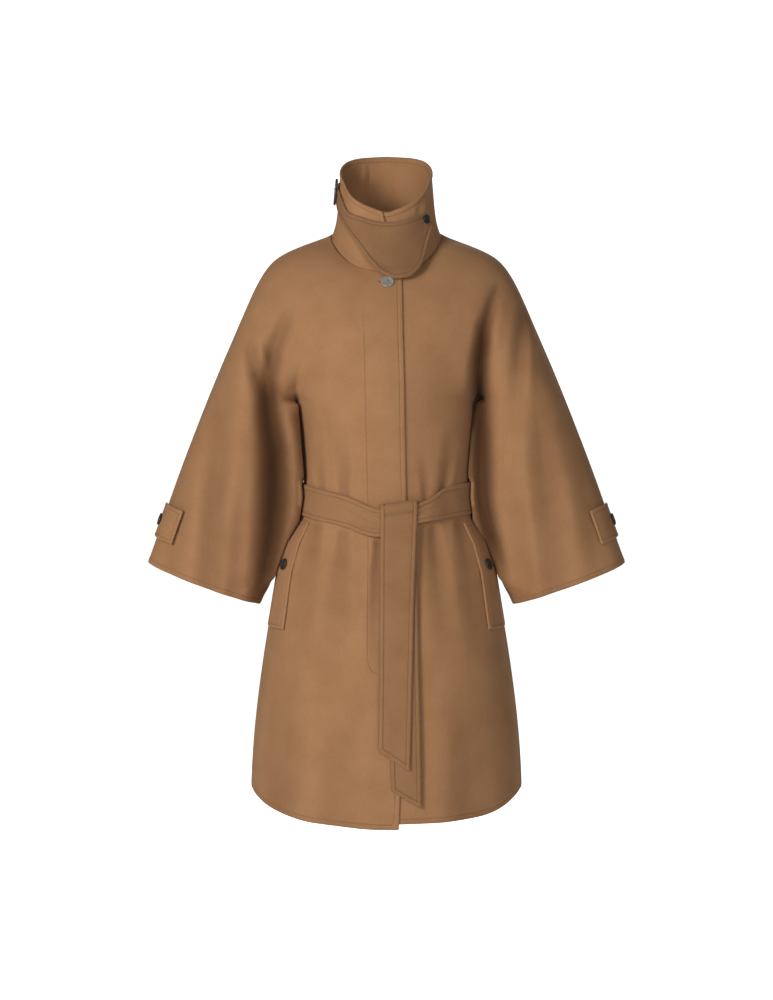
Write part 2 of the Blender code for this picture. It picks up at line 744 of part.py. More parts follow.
def make_flap(name, material, collection):
    first, last = FLAP_COLUMNS[0].angle, FLAP_COLUMNS[-1].angle
    steps = round((last - first) / FLAP_STEP)
    rows = []
    for row in range(FLAP_ROWS + 1):
        line = []
        for i in range(steps + 1):
            angle = first + (last - first) * i / steps
            top = read_table(FLAP_COLUMNS, "angle", "top", angle)
            bottom = read_table(FLAP_COLUMNS, "angle", "bottom", angle)
            z = top + (bottom - top) * row / FLAP_ROWS
            point, normal = collar_at_z(math.radians(angle), z)
            line.append((point + normal * flap_stand(angle, z), normal))
        rows.append(line)
    return add_object(name, strip_mesh(name, rows, TRIM_WALL), material, collection)


def make_chape(name, material, collection):
    rows = []
    for z in CHAPE_Z:
        line = []
        for i in range(CHAPE_STEPS + 1):
            angle = CHAPE_ANGLES[0] + (CHAPE_ANGLES[1] - CHAPE_ANGLES[0]) * i / CHAPE_STEPS
            point, normal = collar_at_z(math.radians(angle), z)
            line.append((point + normal * REST_GAP, normal))
        rows.append(line)
    return add_object(name, strip_mesh(name, rows, TRIM_WALL), material, collection)


def box_mesh(name, size):
    shape = bmesh.new()
    bmesh.ops.create_cube(shape, size=1)
    bmesh.ops.scale(shape, vec=size, verts=shape.verts)
    mesh = bpy.data.meshes.new(name)
    shape.to_mesh(mesh)
    shape.free()
    return mesh


def make_buckle(name, material, collection, cutters):
    """A plain rectangular frame on the wearer's right side of the collar."""
    point, _normal = collar_at_z(-RIGHT_ANGLE, BUCKLE_Z)
    place = (point[0] - BUCKLE_STAND - BUCKLE_BAR / 2, point[1], BUCKLE_Z)
    frame = box_mesh(name, (BUCKLE_BAR, BUCKLE_LENGTH, BUCKLE_HEIGHT))
    buckle = add_object(name, frame, material, collection)
    buckle.location = place
    buckle.rotation_euler = (0, BUCKLE_TILT, 0)
    opening_y = (BUCKLE_LENGTH - 3 * BUCKLE_BAR) / 2
    for sign in (-1, 1):
        size = (3 * BUCKLE_BAR, opening_y, BUCKLE_HEIGHT - 2 * BUCKLE_BAR)
        cutter = bpy.data.objects.new(f"buckle_slot_{sign}", box_mesh("buckle_slot", size))
        cutters.objects.link(cutter)
        cutter.hide_render = True
        cutter.display_type = "WIRE"
        cutter.parent = buckle
        cutter.location = (0, sign * (opening_y + BUCKLE_BAR) / 2, 0)
        cut = buckle.modifiers.new("Slot", "BOOLEAN")
        cut.operation = "DIFFERENCE"
        cut.solver = "EXACT"
        cut.object = cutter
    bevel = buckle.modifiers.new("Soft corners", "BEVEL")
    bevel.width = BUCKLE_BEVEL
    bevel.segments = 1
    return buckle


# Belt


def belt_columns():
    """Angles round the waist, at the panels' own columns. 0 is the front centre."""
    width = body_size(BELT_BACK_Z, -1)[0]

    def spread(upper):
        return column_angles(
            (width, BELT_BACK_Z), lambda place: lap_angles(upper, *place), BODY_COLUMNS, RIGHT_ANGLE
        )

    left = [angle for angle in spread(False) if angle > -1e-9]
    right = [angle for angle in spread(True) if angle > 1e-9]
    back = [RIGHT_ANGLE + RIGHT_ANGLE * i / BODY_COLUMNS for i in range(1, 2 * BODY_COLUMNS)]
    return left + back + [2 * math.pi - angle for angle in reversed(right)]


def belt_ring_point(angle, share):
    """The waist's surface under the belt, its level normal, and the belt's height off it."""
    side = -1 if math.cos(angle) > 1e-9 else 1
    x = body_size(BELT_BACK_Z, side)[0] * math.sin(angle)
    if side < 0:
        middle = read_table(BELT_FRONT, "x", "middle_z", x)
        half = read_table(BELT_FRONT, "x", "half_height", x)
    else:
        blend = smooth(-math.cos(angle), 0, BELT_BACK_BLEND)
        middle = read_table(BELT_FRONT, "x", "middle_z", x) * (1 - blend) + BELT_BACK_Z * blend
        half = BELT_FRONT[0].half_height
    z = middle + share * half
    width, depth = body_size(z, side)
    point = np.array([width * math.sin(angle), -depth * math.cos(angle), z])
    if side > 0:
        point[1] = depth * abs(math.cos(angle))
    normal = np.array([math.sin(angle) / width, -math.cos(angle) / depth, 0])
    normal /= np.linalg.norm(normal)
    stand = BELT_STAND
    if side < 0:
        past_knot = 1 - smooth(x, KNOT_X[2], KNOT_X[3])
        stand += (LAP_LIFT * lap(-x) + KNOT_STAND * smooth(x, KNOT_X[0], KNOT_X[1])) * past_knot
    return point, normal, stand


def make_belt(name, material, collection):
    columns = belt_columns()
    inner, outer = [], []
    for share in (1, 0, -1):
        for angle in columns:
            point, normal, stand = belt_ring_point(angle, share)
            inner.append(point + normal * stand)
            outer.append(point + normal * (stand + BELT_WALL))
    count = len(columns)
    faces = [
        (i, i + count, (i + 1) % count + count, (i + 1) % count)
        for i in range(count)
    ]
    faces += [tuple(i + count for i in face) for face in faces]
    return add_object(name, wall_mesh(name, outer, inner, faces), material, collection)


def ribbon_mesh(name, path, left_x, right_x, end_z, top_slant=0.0):
    """A tail that follows a path of (z, stand) over the body, slanted at its top and end."""
    path = np.array(path)
    ahead = np.gradient(path, axis=0)
    across = np.stack([ahead[:, 1], -ahead[:, 0]], axis=1)
    across /= np.linalg.norm(across, axis=1)[:, None]
    top_z, low_z = path[0][0], path[-1][0]
    sides = []
    for sign in (1, -1):
        points = []
        for (z, stand), (turn_z, turn_stand) in zip(path, across):
            down = (top_z - z) / (top_z - low_z)
            for i in range(TAIL_COLUMNS):
                share = i / (TAIL_COLUMNS - 1)
                x_left = left_x[0] + (left_x[1] - left_x[0]) * down
                x_right = right_x[0] + (right_x[1] - right_x[0]) * down
                x = x_left + (x_right - x_left) * share
                end = end_z[0] + (end_z[1] - end_z[0]) * share
                slanted = z + (end - low_z) * smooth(z, low_z + TAIL_END_SPAN, low_z)
                at_top = smooth(z, top_z - TAIL_TOP_SPAN[0], top_z - TAIL_TOP_SPAN[1])
                slanted += top_slant * (share - 0.5) * at_top
                point, normal = body_at_x(x, slanted)
                at = point + normal * (stand + sign * turn_stand * BELT_WALL / 2)
                at[2] = slanted + sign * turn_z * BELT_WALL / 2
                points.append(at)
        sides.append(points)
    ids = [list(range(row * TAIL_COLUMNS, (row + 1) * TAIL_COLUMNS)) for row in range(len(path))]
    return wall_mesh(name, sides[0], sides[1], grid_faces(ids))


def belt_stands():
    """How far the belt's two sides stand off the body at the knot."""
    inner = BELT_STAND + KNOT_STAND + LAP_LIFT
    return inner, inner + BELT_WALL


def make_front_tail(name, material, collection):
    inner, outer = belt_stands()
    top = FRONT_TAIL_TOP_Z
    behind = inner - 2 * REST_GAP - BELT_WALL / 2
    ahead = outer + 2 * REST_GAP + BELT_WALL / 2
    middle, reach = (behind + ahead) / 2, (ahead - behind) / 2
    path = [(top - HOOK_LENGTH, behind)]
    for i in range(HOOK_STEPS + 1):
        turn = math.pi * i / HOOK_STEPS
        path.append((top + HOOK_RISE * math.sin(turn), middle - reach * math.cos(turn)))
    path += [(z, ahead) for z in FRONT_TAIL_BELT_Z]
    low = sum(FRONT_TAIL_END) / 2
    levels = [level.z for level in BODY_LEVELS if low < level.z <= FRONT_TAIL[0].z]
    path += [(z, read_table(FRONT_TAIL, "z", "stand", z)) for z in levels + [low]]
    mesh = ribbon_mesh(
        name, path, FRONT_TAIL_LEFT_X, FRONT_TAIL_RIGHT_X, FRONT_TAIL_END, FRONT_TAIL_SLANT
    )
    return add_object(name, mesh, material, collection)


def make_rear_tail(name, material, collection):
    low = sum(REAR_TAIL_END) / 2
    levels = [REAR_TAIL_TOP_Z] + [level.z for level in BODY_LEVELS if low < level.z < REAR_TAIL_TOP_Z]
    path = [(z, REAR_TAIL_STAND) for z in levels + [low]]
    mesh = ribbon_mesh(name, path, REAR_TAIL_LEFT_X, REAR_TAIL_RIGHT_X, REAR_TAIL_END)
    return add_object(name, mesh, material, collection)


# Cuff tabs, welts and buttons


def sleeve_surface(along, degrees, hand):
    """A place on the sleeve's outer side, past 90 degrees on its back, with its normal."""
    def at(a, d):
        side = -1 if d <= 90 else 1
        return sleeve_point(a, math.radians(d if d <= 90 else 180 - d), side)

    point = at(along, degrees)
    round_step = at(along, degrees + 2) - at(along, degrees - 2)
    down_step = at(along + 0.02, degrees) - at(along - 0.02, degrees)
    normal = np.cross(down_step, round_step)
    outward = point - (at(along, 90) + at(along, -90)) / 2
    normal *= np.sign(np.dot(normal, outward))
    normal /= np.linalg.norm(normal)
    mirror = np.array([hand, 1, 1])
    return point * mirror, normal * mirror


def make_tab(name, hand, material, collection):
    middle = sum(TAB_ALONG) / 2
    corner = (TAB_CORNER_ANGLE, TAB_CORNER_STAND)
    rows = []
    for along, inward, end in (
        (TAB_ALONG[0], TAB_CORNER_CUT, corner),
        (middle, 0, (TAB_POINT_ANGLE, TAB_POINT_STAND)),
        (TAB_ALONG[1], -TAB_CORNER_CUT, corner),
    ):
        line = []
        for degrees, stand in zip(TAB_ANGLES, TAB_STAND):
            point, normal = sleeve_surface(along, degrees, hand)
            line.append((point + normal * stand, normal))
        point, normal = sleeve_surface(along + inward, end[0], hand)
        line.append((point + normal * end[1], normal))
        rows.append(line)
    return add_object(name, strip_mesh(name, rows, TRIM_WALL), material, collection)


def make_welt(name, upper, material, collection):
    rows = []
    for z in WELT_Z:
        line = []
        for column in WELT_COLUMNS:
            point, _normal = front_grid_point(z, column, upper)
            toward = point * (1, 1, 0)
            toward /= np.linalg.norm(toward)
            line.append((point + toward * REST_GAP, toward))
        rows.append(line)
    return add_object(name, strip_mesh(name, rows, TRIM_WALL), material, collection)


def make_button(name, size, seat, normal, material, collection):
    """A round button with a soft rim, on a seat and square to its normal."""
    shape = bmesh.new()
    bmesh.ops.create_cone(
        shape, cap_ends=True, segments=BUTTON_SIDES, radius1=size.radius * BUTTON_BACK_SHARE,
        radius2=size.radius, depth=size.thickness,
    )
    mesh = bpy.data.meshes.new(name)
    shape.to_mesh(mesh)
    shape.free()
    mesh.shade_smooth()
    mesh.set_sharp_from_angle(angle=BUTTON_SHARP_ANGLE)
    button = add_object(name, mesh, material, collection)
    toward = np.array(normal) / np.linalg.norm(normal)
    button.location = np.array(seat) + toward * (REST_GAP + size.thickness / 2)
    button.rotation_euler = (
        0, math.acos(max(min(toward[2], 1), -1)), math.atan2(toward[1], toward[0])
    )
    return button


def make_buttons(collection):
    def dark(name):
        return make_material(f"horn_{name}", (0.022, 0.018, 0.015), 0.35)

    # The front button, on the upper front under the collar flap
    row = YOKE_ROWS[0]
    neck_z = COLLAR_EDGES[0].base
    share = (neck_z - FRONT_BUTTON_Z) / (neck_z - row.front_z)
    normal = np.array([0, row.front_z - neck_z, row.front_depth - NECK_FRONT])
    normal /= np.linalg.norm(normal)
    seat = np.array([FRONT_BUTTON_X, -NECK_FRONT - (row.front_depth - NECK_FRONT) * share, FRONT_BUTTON_Z])
    seat += normal * LAP_LIFT
    pale = make_material("horn_front_button", (0.20, 0.19, 0.18), 0.35)
    make_button("front_button", FRONT_BUTTON, seat, normal, pale, collection)

    point, normal = collar_at_z(math.radians(COLLAR_BUTTON_ANGLE), COLLAR_BUTTON_Z)
    stand = flap_stand(COLLAR_BUTTON_ANGLE, COLLAR_BUTTON_Z) + TRIM_WALL + FACET_GAP
    seat = point + normal * stand
    make_button("collar_button", COLLAR_BUTTON, seat, normal, dark("collar_button"), collection)

    for hand, label in ((-1, "right"), (1, "left")):
        name = f"cuff_button_{label}"
        point, normal = sleeve_surface(sum(TAB_ALONG) / 2, TAB_BUTTON_ANGLE, hand)
        seat = point + normal * (TAB_STAND[1] + TRIM_WALL + FACET_GAP)
        make_button(name, CUFF_BUTTON, seat, normal, dark(name), collection)
        name = f"pocket_button_{label}"
        point, normal = front_grid_point(WELT_BUTTON_Z, WELT_BUTTON_COLUMN, hand < 0)
        seat = point + normal * (REST_GAP + TRIM_WALL)
        make_button(name, POCKET_BUTTON, seat, normal, dark(name), collection)


def make_material(name, colour, roughness, metallic=0.0):
    material = bpy.data.materials.new(name)
    material.use_nodes = True
    shader = material.node_tree.nodes["Principled BSDF"]
    shader.inputs["Base Color"].default_value = (*colour, 1)
    shader.inputs["Roughness"].default_value = roughness
    shader.inputs["Metallic"].default_value = metallic
    material.diffuse_color = (*colour, 1)
    return material


def clear_scene():
    for obj in list(bpy.data.objects):
        bpy.data.objects.remove(obj, do_unlink=True)


def main():
    clear_scene()
    parts = bpy.data.collections.new("wool_cape")
    cutters = bpy.data.collections.new("cutters")
    bpy.context.scene.collection.children.link(parts)
    bpy.context.scene.collection.children.link(cutters)

    def wool(name):
        return make_material(f"wool_{name}", (0.38, 0.19, 0.084), 0.9)

    make_front("front_right", True, wool("front_right"), parts)
    make_front("front_left", False, wool("front_left"), parts)
    make_back("back", wool("back"), parts)
    make_collar("collar", wool("collar"), parts)
    make_flap("collar_flap", wool("collar_flap"), parts)
    make_chape("collar_chape", wool("collar_chape"), parts)
    dark_leather = make_material("leather_collar_buckle", (0.045, 0.022, 0.014), 0.40)
    make_buckle("collar_buckle", dark_leather, parts, cutters)
    make_belt("belt_waist", wool("belt_waist"), parts)
    make_front_tail("belt_tail_front", wool("belt_tail_front"), parts)
    make_rear_tail("belt_tail_rear", wool("belt_tail_rear"), parts)
    for hand, label in ((-1, "right"), (1, "left")):
        make_tab(f"cuff_tab_{label}", hand, wool(f"cuff_tab_{label}"), parts)
        make_welt(f"pocket_welt_{label}", hand < 0, wool(f"pocket_welt_{label}"), parts)
    make_buttons(parts)


main()
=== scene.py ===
import math
from collections import namedtuple

import bmesh
import bpy
import numpy as np
from mathutils import Matrix, Vector, kdtree


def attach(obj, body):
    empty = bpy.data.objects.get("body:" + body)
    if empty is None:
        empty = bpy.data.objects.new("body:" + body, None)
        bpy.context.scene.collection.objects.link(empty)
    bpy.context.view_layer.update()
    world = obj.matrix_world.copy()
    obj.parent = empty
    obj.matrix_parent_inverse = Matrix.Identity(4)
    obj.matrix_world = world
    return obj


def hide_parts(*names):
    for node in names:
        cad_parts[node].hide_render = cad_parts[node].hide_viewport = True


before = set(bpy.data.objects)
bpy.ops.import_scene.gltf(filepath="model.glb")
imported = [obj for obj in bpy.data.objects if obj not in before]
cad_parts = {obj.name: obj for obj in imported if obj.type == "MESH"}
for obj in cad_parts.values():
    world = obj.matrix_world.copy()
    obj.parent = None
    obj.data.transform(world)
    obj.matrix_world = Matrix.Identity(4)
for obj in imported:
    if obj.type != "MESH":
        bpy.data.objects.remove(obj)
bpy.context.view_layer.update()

# Belted wool cape. Metres, +Z up, front towards -Y, wearer's left +X.
# The shapes below are the part's own, worked out finer here and given folds, edges and sewing.

# Driving dimensions
wall = 0.0025
seamGap = 0.0003
restGap = 0.0006
beltWall = 0.003
trimWall = 0.0022
lapLift = wall + seamGap

crotchX = 0.140
crotchZ = -0.250
chestFrontZ = -0.150
chestBackZ = -0.125
armholeTopX = 0.205
armholeTopZ = -0.085
sleeveTopX = 0.255
sleeveTopZ = -0.200
cuffOuter = (0.3700, -0.5020)
cuffInner = (0.1960, -0.5670)
underlapX = 0.035
lapColumnsX = (0.015, 0.0, -0.0175)
lapFade = (0.003, 0.050)

neckHalfWidth = 0.085
neckFront = 0.080
neckBack = 0.066
neckEdgeZ = -0.055
neckSpread = 1.15

bodyColumns = 10
sleeveColumns = 8
armholeRows = 6
sleeveRows = (0.035, 0.17, 0.31, 0.45, 0.59, 0.73, 0.865, 1.0)
rightAngle = math.radians(90)
# Where the underarm fold starts on the wide sections, and how far round it the arch reaches
foldAngle = math.asin(crotchX / sleeveTopX)
archReach = 0.5

# The body below the armhole, level by level
BodyLevel = namedtuple("BodyLevel", "z halfWidth frontDepth backDepth")
bodyLevels = (
    BodyLevel(-0.250, 0.1375, 0.1170, 0.1165),
    BodyLevel(-0.261, 0.1365, 0.1162, 0.1158),
    BodyLevel(-0.300, 0.1325, 0.1120, 0.1120),
    BodyLevel(-0.350, 0.1290, 0.104, 0.105),
    BodyLevel(-0.400, 0.1270, 0.098, 0.100),
    BodyLevel(-0.434, 0.1320, 0.100, 0.102),
    BodyLevel(-0.470, 0.1530, 0.107, 0.110),
    BodyLevel(-0.515, 0.1680, 0.118, 0.121),
    BodyLevel(-0.575, 0.1780, 0.129, 0.131),
    BodyLevel(-0.645, 0.1900, 0.139, 0.140),
    BodyLevel(-0.725, 0.2010, 0.147, 0.149),
    BodyLevel(-0.800, 0.2080, 0.153, 0.154),
    BodyLevel(-0.895, 0.2120, 0.157, 0.158),
)

# The yoke, from the neckline out to the top of the armhole
YokeRow = namedtuple("YokeRow", "frontZ backZ shoulderX shoulderZ frontDepth backDepth")
yokeRows = (
    YokeRow(-0.076, -0.008, 0.110, -0.0070, 0.093, 0.082),
    YokeRow(-0.096, -0.035, 0.142, -0.0190, 0.103, 0.096),
    YokeRow(-0.115, -0.065, 0.172, -0.0330, 0.110, 0.107),
    YokeRow(-0.133, -0.095, 0.191, -0.0580, 0.115, 0.114),
    YokeRow(chestFrontZ, chestBackZ, armholeTopX, armholeTopZ, 0.118, 0.118),
)

# The sleeve, from the underarm (0) to the cuff (1)
SleeveRing = namedtuple("SleeveRing", "along innerX innerZ outerX outerZ frontDepth backDepth")
sleeveRings = (
    SleeveRing(0.00, 0.1430, crotchZ, sleeveTopX, sleeveTopZ, 0.081, 0.081),
    SleeveRing(0.15, 0.1352, -0.300, 0.274, -0.2450, 0.080, 0.080),
    SleeveRing(0.35, 0.1325, -0.362, 0.298, -0.3060, 0.076, 0.076),
    SleeveRing(0.55, 0.1366, -0.425, 0.321, -0.3650, 0.072, 0.072),
    SleeveRing(0.67, 0.1532, -0.462, 0.334, -0.4020, 0.070, 0.070),
    SleeveRing(0.78, 0.1662, -0.495, 0.346, -0.4350, 0.067, 0.067),
    SleeveRing(0.90, 0.1805, -0.535, 0.359, -0.4720, 0.064, 0.064),
    SleeveRing(1.00, cuffInner[0], cuffInner[1], cuffOuter[0], cuffOuter[1], 0.062, 0.062),
)

# The edge of the upper front, along its length
EdgePoint = namedtuple("EdgePoint", "z x")
frontEdge = (
    EdgePoint(-0.910, 0.0165),
    EdgePoint(-0.840, 0.0206),
    EdgePoint(-0.430, 0.0300),
    EdgePoint(-0.338, 0.0281),
    EdgePoint(-0.050, 0.0225),
)

# The hem is level at the front and back and rises at the side seams
hemFrontUpperZ = -0.8930
hemFrontZ = -0.8850
hemBackZ = -0.8850
hemSideZ = -0.8520
hemPower = 6
hemStepAngle = 0.9

# The collar, from its base (0) to its rim (1)
CollarRow = namedtuple("CollarRow", "height halfWidth frontDepth backDepth")
collarRows = (
    CollarRow(0.00, 0.0850, 0.0800, 0.0660),
    CollarRow(0.14, 0.0785, 0.0740, 0.0650),
    CollarRow(0.40, 0.0745, 0.0715, 0.0655),
    CollarRow(0.75, 0.0720, 0.0705, 0.0680),
    CollarRow(1.00, 0.0690, 0.0690, 0.0700),
)
# Heights of its base and rim round the neck. Angle 0 is the front and 180 the back
CollarEdge = namedtuple("CollarEdge", "angle base rim")
collarEdges = (
    CollarEdge(0, -0.0570, 0.0335),
    CollarEdge(30, -0.0480, 0.0480),
    CollarEdge(45, -0.0370, 0.0590),
    CollarEdge(62, -0.0210, 0.0765),
    CollarEdge(75, -0.0095, 0.0890),
    CollarEdge(90, -0.0005, 0.0980),
    CollarEdge(105, 0.0045, 0.1080),
    CollarEdge(120, 0.0080, 0.1155),
    CollarEdge(150, 0.0110, 0.1230),
    CollarEdge(180, 0.0120, 0.1255),
)
# How far the upper end leans back at the rim, and its lift over the under end
collarUpperEndShift = -0.030
collarLapLift = lapLift + 0.0006

# The flap and its strap, by angle round the collar from the front centre
FlapColumn = namedtuple("FlapColumn", "angle top bottom")
flapColumns = (
    FlapColumn(-116, 0.0860, 0.0590),
    FlapColumn(-104, 0.0840, 0.0570),
    FlapColumn(-90, 0.0790, 0.0520),
    FlapColumn(-76, 0.0680, 0.0410),
    FlapColumn(-62, 0.0530, 0.0270),
    FlapColumn(-50, 0.0370, 0.0120),
    FlapColumn(-40, 0.0320, 0.0000),
    FlapColumn(-27, 0.0270, -0.0180),
    FlapColumn(-14, 0.0220, -0.0400),
    FlapColumn(-3, 0.0200, -0.0560),
    FlapColumn(8, 0.0200, -0.0635),
    FlapColumn(18, 0.0225, -0.0610),
    FlapColumn(27, 0.0255, -0.0510),
    FlapColumn(36, 0.0290, -0.0350),
    FlapColumn(45, 0.0325, -0.0140),
    FlapColumn(54, 0.0340, 0.0060),
    FlapColumn(60, 0.0310, 0.0160),
)
flapRest = 0.0010
# The flap's point stands off by this much, growing down these heights and round these angles
flapPointStand = 0.014
flapStandZ = (0.030, -0.063)
flapStandAngles = (-62, -30)
# Its lift over the collar's lap: how the lap leans on the right, and where it ends on the left
flapLapLean = 0.7
flapLapAngles = (20, 50)

chapeAngles = (-124, -160)
chapeZ = (0.0850, 0.0580)

buckleHeight = 0.041
buckleLength = 0.034
buckleBar = 0.0040
buckleZ = 0.0690
buckleStand = 0.0038
buckleTilt = math.radians(5.5)

# The belt at the waist, by x across the front
BeltPoint = namedtuple("BeltPoint", "x middleZ halfHeight")
beltFront = (
    BeltPoint(-0.130, -0.4030, 0.0235),
    BeltPoint(-0.060, -0.4170, 0.0225),
    BeltPoint(-0.008, -0.4332, 0.0205),
    BeltPoint(0.020, -0.4300, 0.0180),
    BeltPoint(0.043, -0.4200, 0.0142),
    BeltPoint(0.057, -0.4160, 0.0155),
    BeltPoint(0.090, -0.4050, 0.0228),
    BeltPoint(0.130, -0.4010, 0.0235),
)
beltBackZ = -0.4000
beltBackBlend = 0.7
beltStand = 0.0008
knotStand = 0.0042
knotX = (-0.0500, -0.0130, 0.0600, 0.0950)

# Lengths over which a tail's slanted end and top take shape
tailEndSpan = 0.080
tailTopSpan = (0.050, 0.015)
TailPoint = namedtuple("TailPoint", "z stand")
# Stand is the height of the tail's middle over the body
frontTail = (
    TailPoint(-0.4700, 0.0134),
    TailPoint(-0.5150, 0.0108),
    TailPoint(-0.5750, 0.0094),
    TailPoint(-0.8000, 0.0091),
)
frontTailLeftX = (-0.0075, -0.0100)
frontTailRightX = (0.0425, 0.0335)
frontTailTopZ = -0.4052
frontTailSlant = 0.0065
frontTailEnd = (-0.7730, -0.8030)
# Its turn over the belt's upper edge, and the levels at which it lies on the belt
hookLength = 0.014
hookRise = 0.0030
frontTailBeltZ = (-0.4340, -0.4560)
rearTailTopZ = -0.4440
rearTailStand = 0.0052
rearTailLeftX = (-0.0040, 0.0085)
rearTailRightX = (0.0430, 0.0510)
rearTailEnd = (-0.8340, -0.8600)

# Cuff tab, by angle round the sleeve. 90 is the overarm seam and more is the back
tabAlong = (0.702, 0.867)
tabAngles = (45, 67.5, 90, 112.5)
tabStand = (0.0006, 0.0006, 0.0016, 0.0040)
tabCornerAngle = 114.5
tabCornerCut = 0.015
tabPointAngle = 124
tabPointStand = 0.0060
tabButtonAngle = 84

# Pocket welts, on the fronts beside the side seams
weltZ = (-0.438, -0.600)
weltColumns = (bodyColumns - 2.3, bodyColumns - 0.2)
weltButtonColumn = bodyColumns - 1.5
weltButtonZ = -0.5035

ButtonSize = namedtuple("ButtonSize", "radius thickness")
frontButton = ButtonSize(0.0098, 0.0034)
collarButton = ButtonSize(0.0072, 0.0030)
cuffButton = ButtonSize(0.0096, 0.0034)
pocketButton = ButtonSize(0.0092, 0.0034)
# What a button keeps clear for the flat faces of the piece under it
facetGap = 0.0004
frontButtonX = 0.0015
frontButtonZ = -0.0715
collarButtonAngle = 51
collarButtonZ = 0.0265


# 0 at start, 1 at end, with a soft curve between.
def smooth(value, start, end):
    t = min(max((value - start) / (end - start), 0.0), 1.0)
    return t * t * (3 - 2 * t)


# One column of a table, on a smooth line through its rows.
def readTable(rows, key, column, at):
    rows = sorted(rows, key=lambda row: getattr(row, key))
    keys = np.array([getattr(row, key) for row in rows], float)
    values = np.array([getattr(row, column) for row in rows], float)
    slopes = np.diff(values) / np.diff(keys)
    tangents = np.zeros(len(keys))
    tangents[0], tangents[-1] = slopes[0], slopes[-1]
    for i in range(1, len(keys) - 1):
        if slopes[i - 1] * slopes[i] > 0:
            tangents[i] = 2 * slopes[i - 1] * slopes[i] / (slopes[i - 1] + slopes[i])
    at = min(max(at, keys[0]), keys[-1])
    i = min(int(np.searchsorted(keys, at, side="right")) - 1, len(keys) - 2)
    step = keys[i + 1] - keys[i]
    t = (at - keys[i]) / step
    return float(
        values[i] * (2 * t**3 - 3 * t**2 + 1)
        + tangents[i] * step * (t**3 - 2 * t**2 + t)
        + values[i + 1] * (3 * t**2 - 2 * t**3)
        + tangents[i + 1] * step * (t**3 - t**2)
    )


# One column of a table, on straight lines between its rows.
def readStraight(rows, key, column, at):
    rows = sorted(rows, key=lambda row: getattr(row, key))
    keys = [getattr(row, key) for row in rows]
    return float(np.interp(at, keys, [getattr(row, column) for row in rows]))


def frontEdgeX(z):
    return readTable(frontEdge, "z", "x", z)


# The body's surface. "side" is -1 for the front and +1 for the back, and
# positions across are for the wearer's left half


def depthColumn(side):
    return "frontDepth" if side < 0 else "backDepth"


# Half width and depth at a level, straight between the levels as the walls are.
def bodySize(z, side):
    width = readStraight(bodyLevels, "z", "halfWidth", z)
    return width, readStraight(bodyLevels, "z", depthColumn(side), z)


def bodyPoint(z, angle, side):
    width, depth = bodySize(z, side)
    return np.array([width * math.sin(angle), side * depth * math.cos(angle), z])


# The body's surface at a place across the front, with its level normal.
def bodyAtX(x, z, side=-1):
    width, depth = bodySize(z, side)
    angle = math.asin(min(max(x / width, -1), 1))
    point = np.array([x, side * depth * math.cos(angle), z])
    normal = np.array([math.sin(angle) / width, side * math.cos(angle) / depth, 0])
    return point, normal / np.linalg.norm(normal)


def hemZ(angle, side, upper=False):
    low = hemBackZ
    if side < 0:
        low = hemFrontUpperZ if upper else hemFrontZ
        if upper:
            low += (hemFrontZ - hemFrontUpperZ) * smooth(angle, 0, hemStepAngle)
    return low + (hemSideZ - low) * abs(math.sin(angle)) ** hemPower


def collarEdge(angle, column):
    return readTable(collarEdges, "angle", column, abs(math.degrees(angle)))


# The neckline, by the angle from the centre of the front or the back.
def neckPoint(angle, side):
    depth = neckFront if side < 0 else neckBack
    roundAngle = angle if side < 0 else math.pi - angle
    base = collarEdge(roundAngle, "base")
    return np.array([neckHalfWidth * math.sin(angle), side * depth * math.cos(angle), base])


# A section that runs from the centre out to the shoulder or overarm seam.
def widePoint(angle, centreZ, shoulderX, shoulderZ, depth, side):
    z = centreZ + (shoulderZ - centreZ) * math.sin(angle) ** 2
    return np.array([shoulderX * math.sin(angle), side * depth * math.cos(angle), z])


# A ring from its inner (x, z) at -90 degrees to its outer (x, z) at 90.
def ringPoint(inner, outer, depth, angle):
    share = (1 + math.sin(angle)) / 2
    x, z = (a + (b - a) * share for a, b in zip(inner, outer))
    return np.array([x, depth * math.cos(angle), z])


# The sleeve. -90 degrees is the underarm seam and 90 the overarm seam.
def sleevePoint(along, angle, side=-1):
    inner, outer = (
        [readTable(sleeveRings, "along", f"{end}{axis.upper()}", along) for axis in "xz"]
        for end in ("inner", "outer")
    )
    depth = readTable(sleeveRings, "along", depthColumn(side), along)
    return ringPoint(inner, outer, side * depth, angle)


# Panels


# Angles across the body: the given first ones, then even steps out to the last.
def columnAngles(place, firstAngles, count, last):
    angles = list(firstAngles(place))
    steps = count - len(angles) + 1
    start = angles[-1]
    return angles + [start + (last - start) * i / steps for i in range(1, steps + 1)]


# Angles of the sleeve's columns on the wide sections, above where the sleeve's top ring has them.
def sleeveColumnAngles():
    middle, half = (crotchX + sleeveTopX) / 2, (sleeveTopX - crotchX) / 2
    return [
        math.asin((middle - half * math.cos(math.pi * i / sleeveColumns)) / sleeveTopX)
        for i in range(1, sleeveColumns + 1)
    ]


# Share of a column's move from the wide section to the parted one. The underarm follows an arch.
def parting(column, turn):
    if column < bodyColumns:
        away = (bodyColumns - column) / bodyColumns
    else:
        away = (column - bodyColumns) / sleeveColumns
    near = 1 - smooth(away, 0, archReach)
    return near * (1 - math.cos(turn)) + (1 - near) * smooth(math.sin(turn), 0, 1)


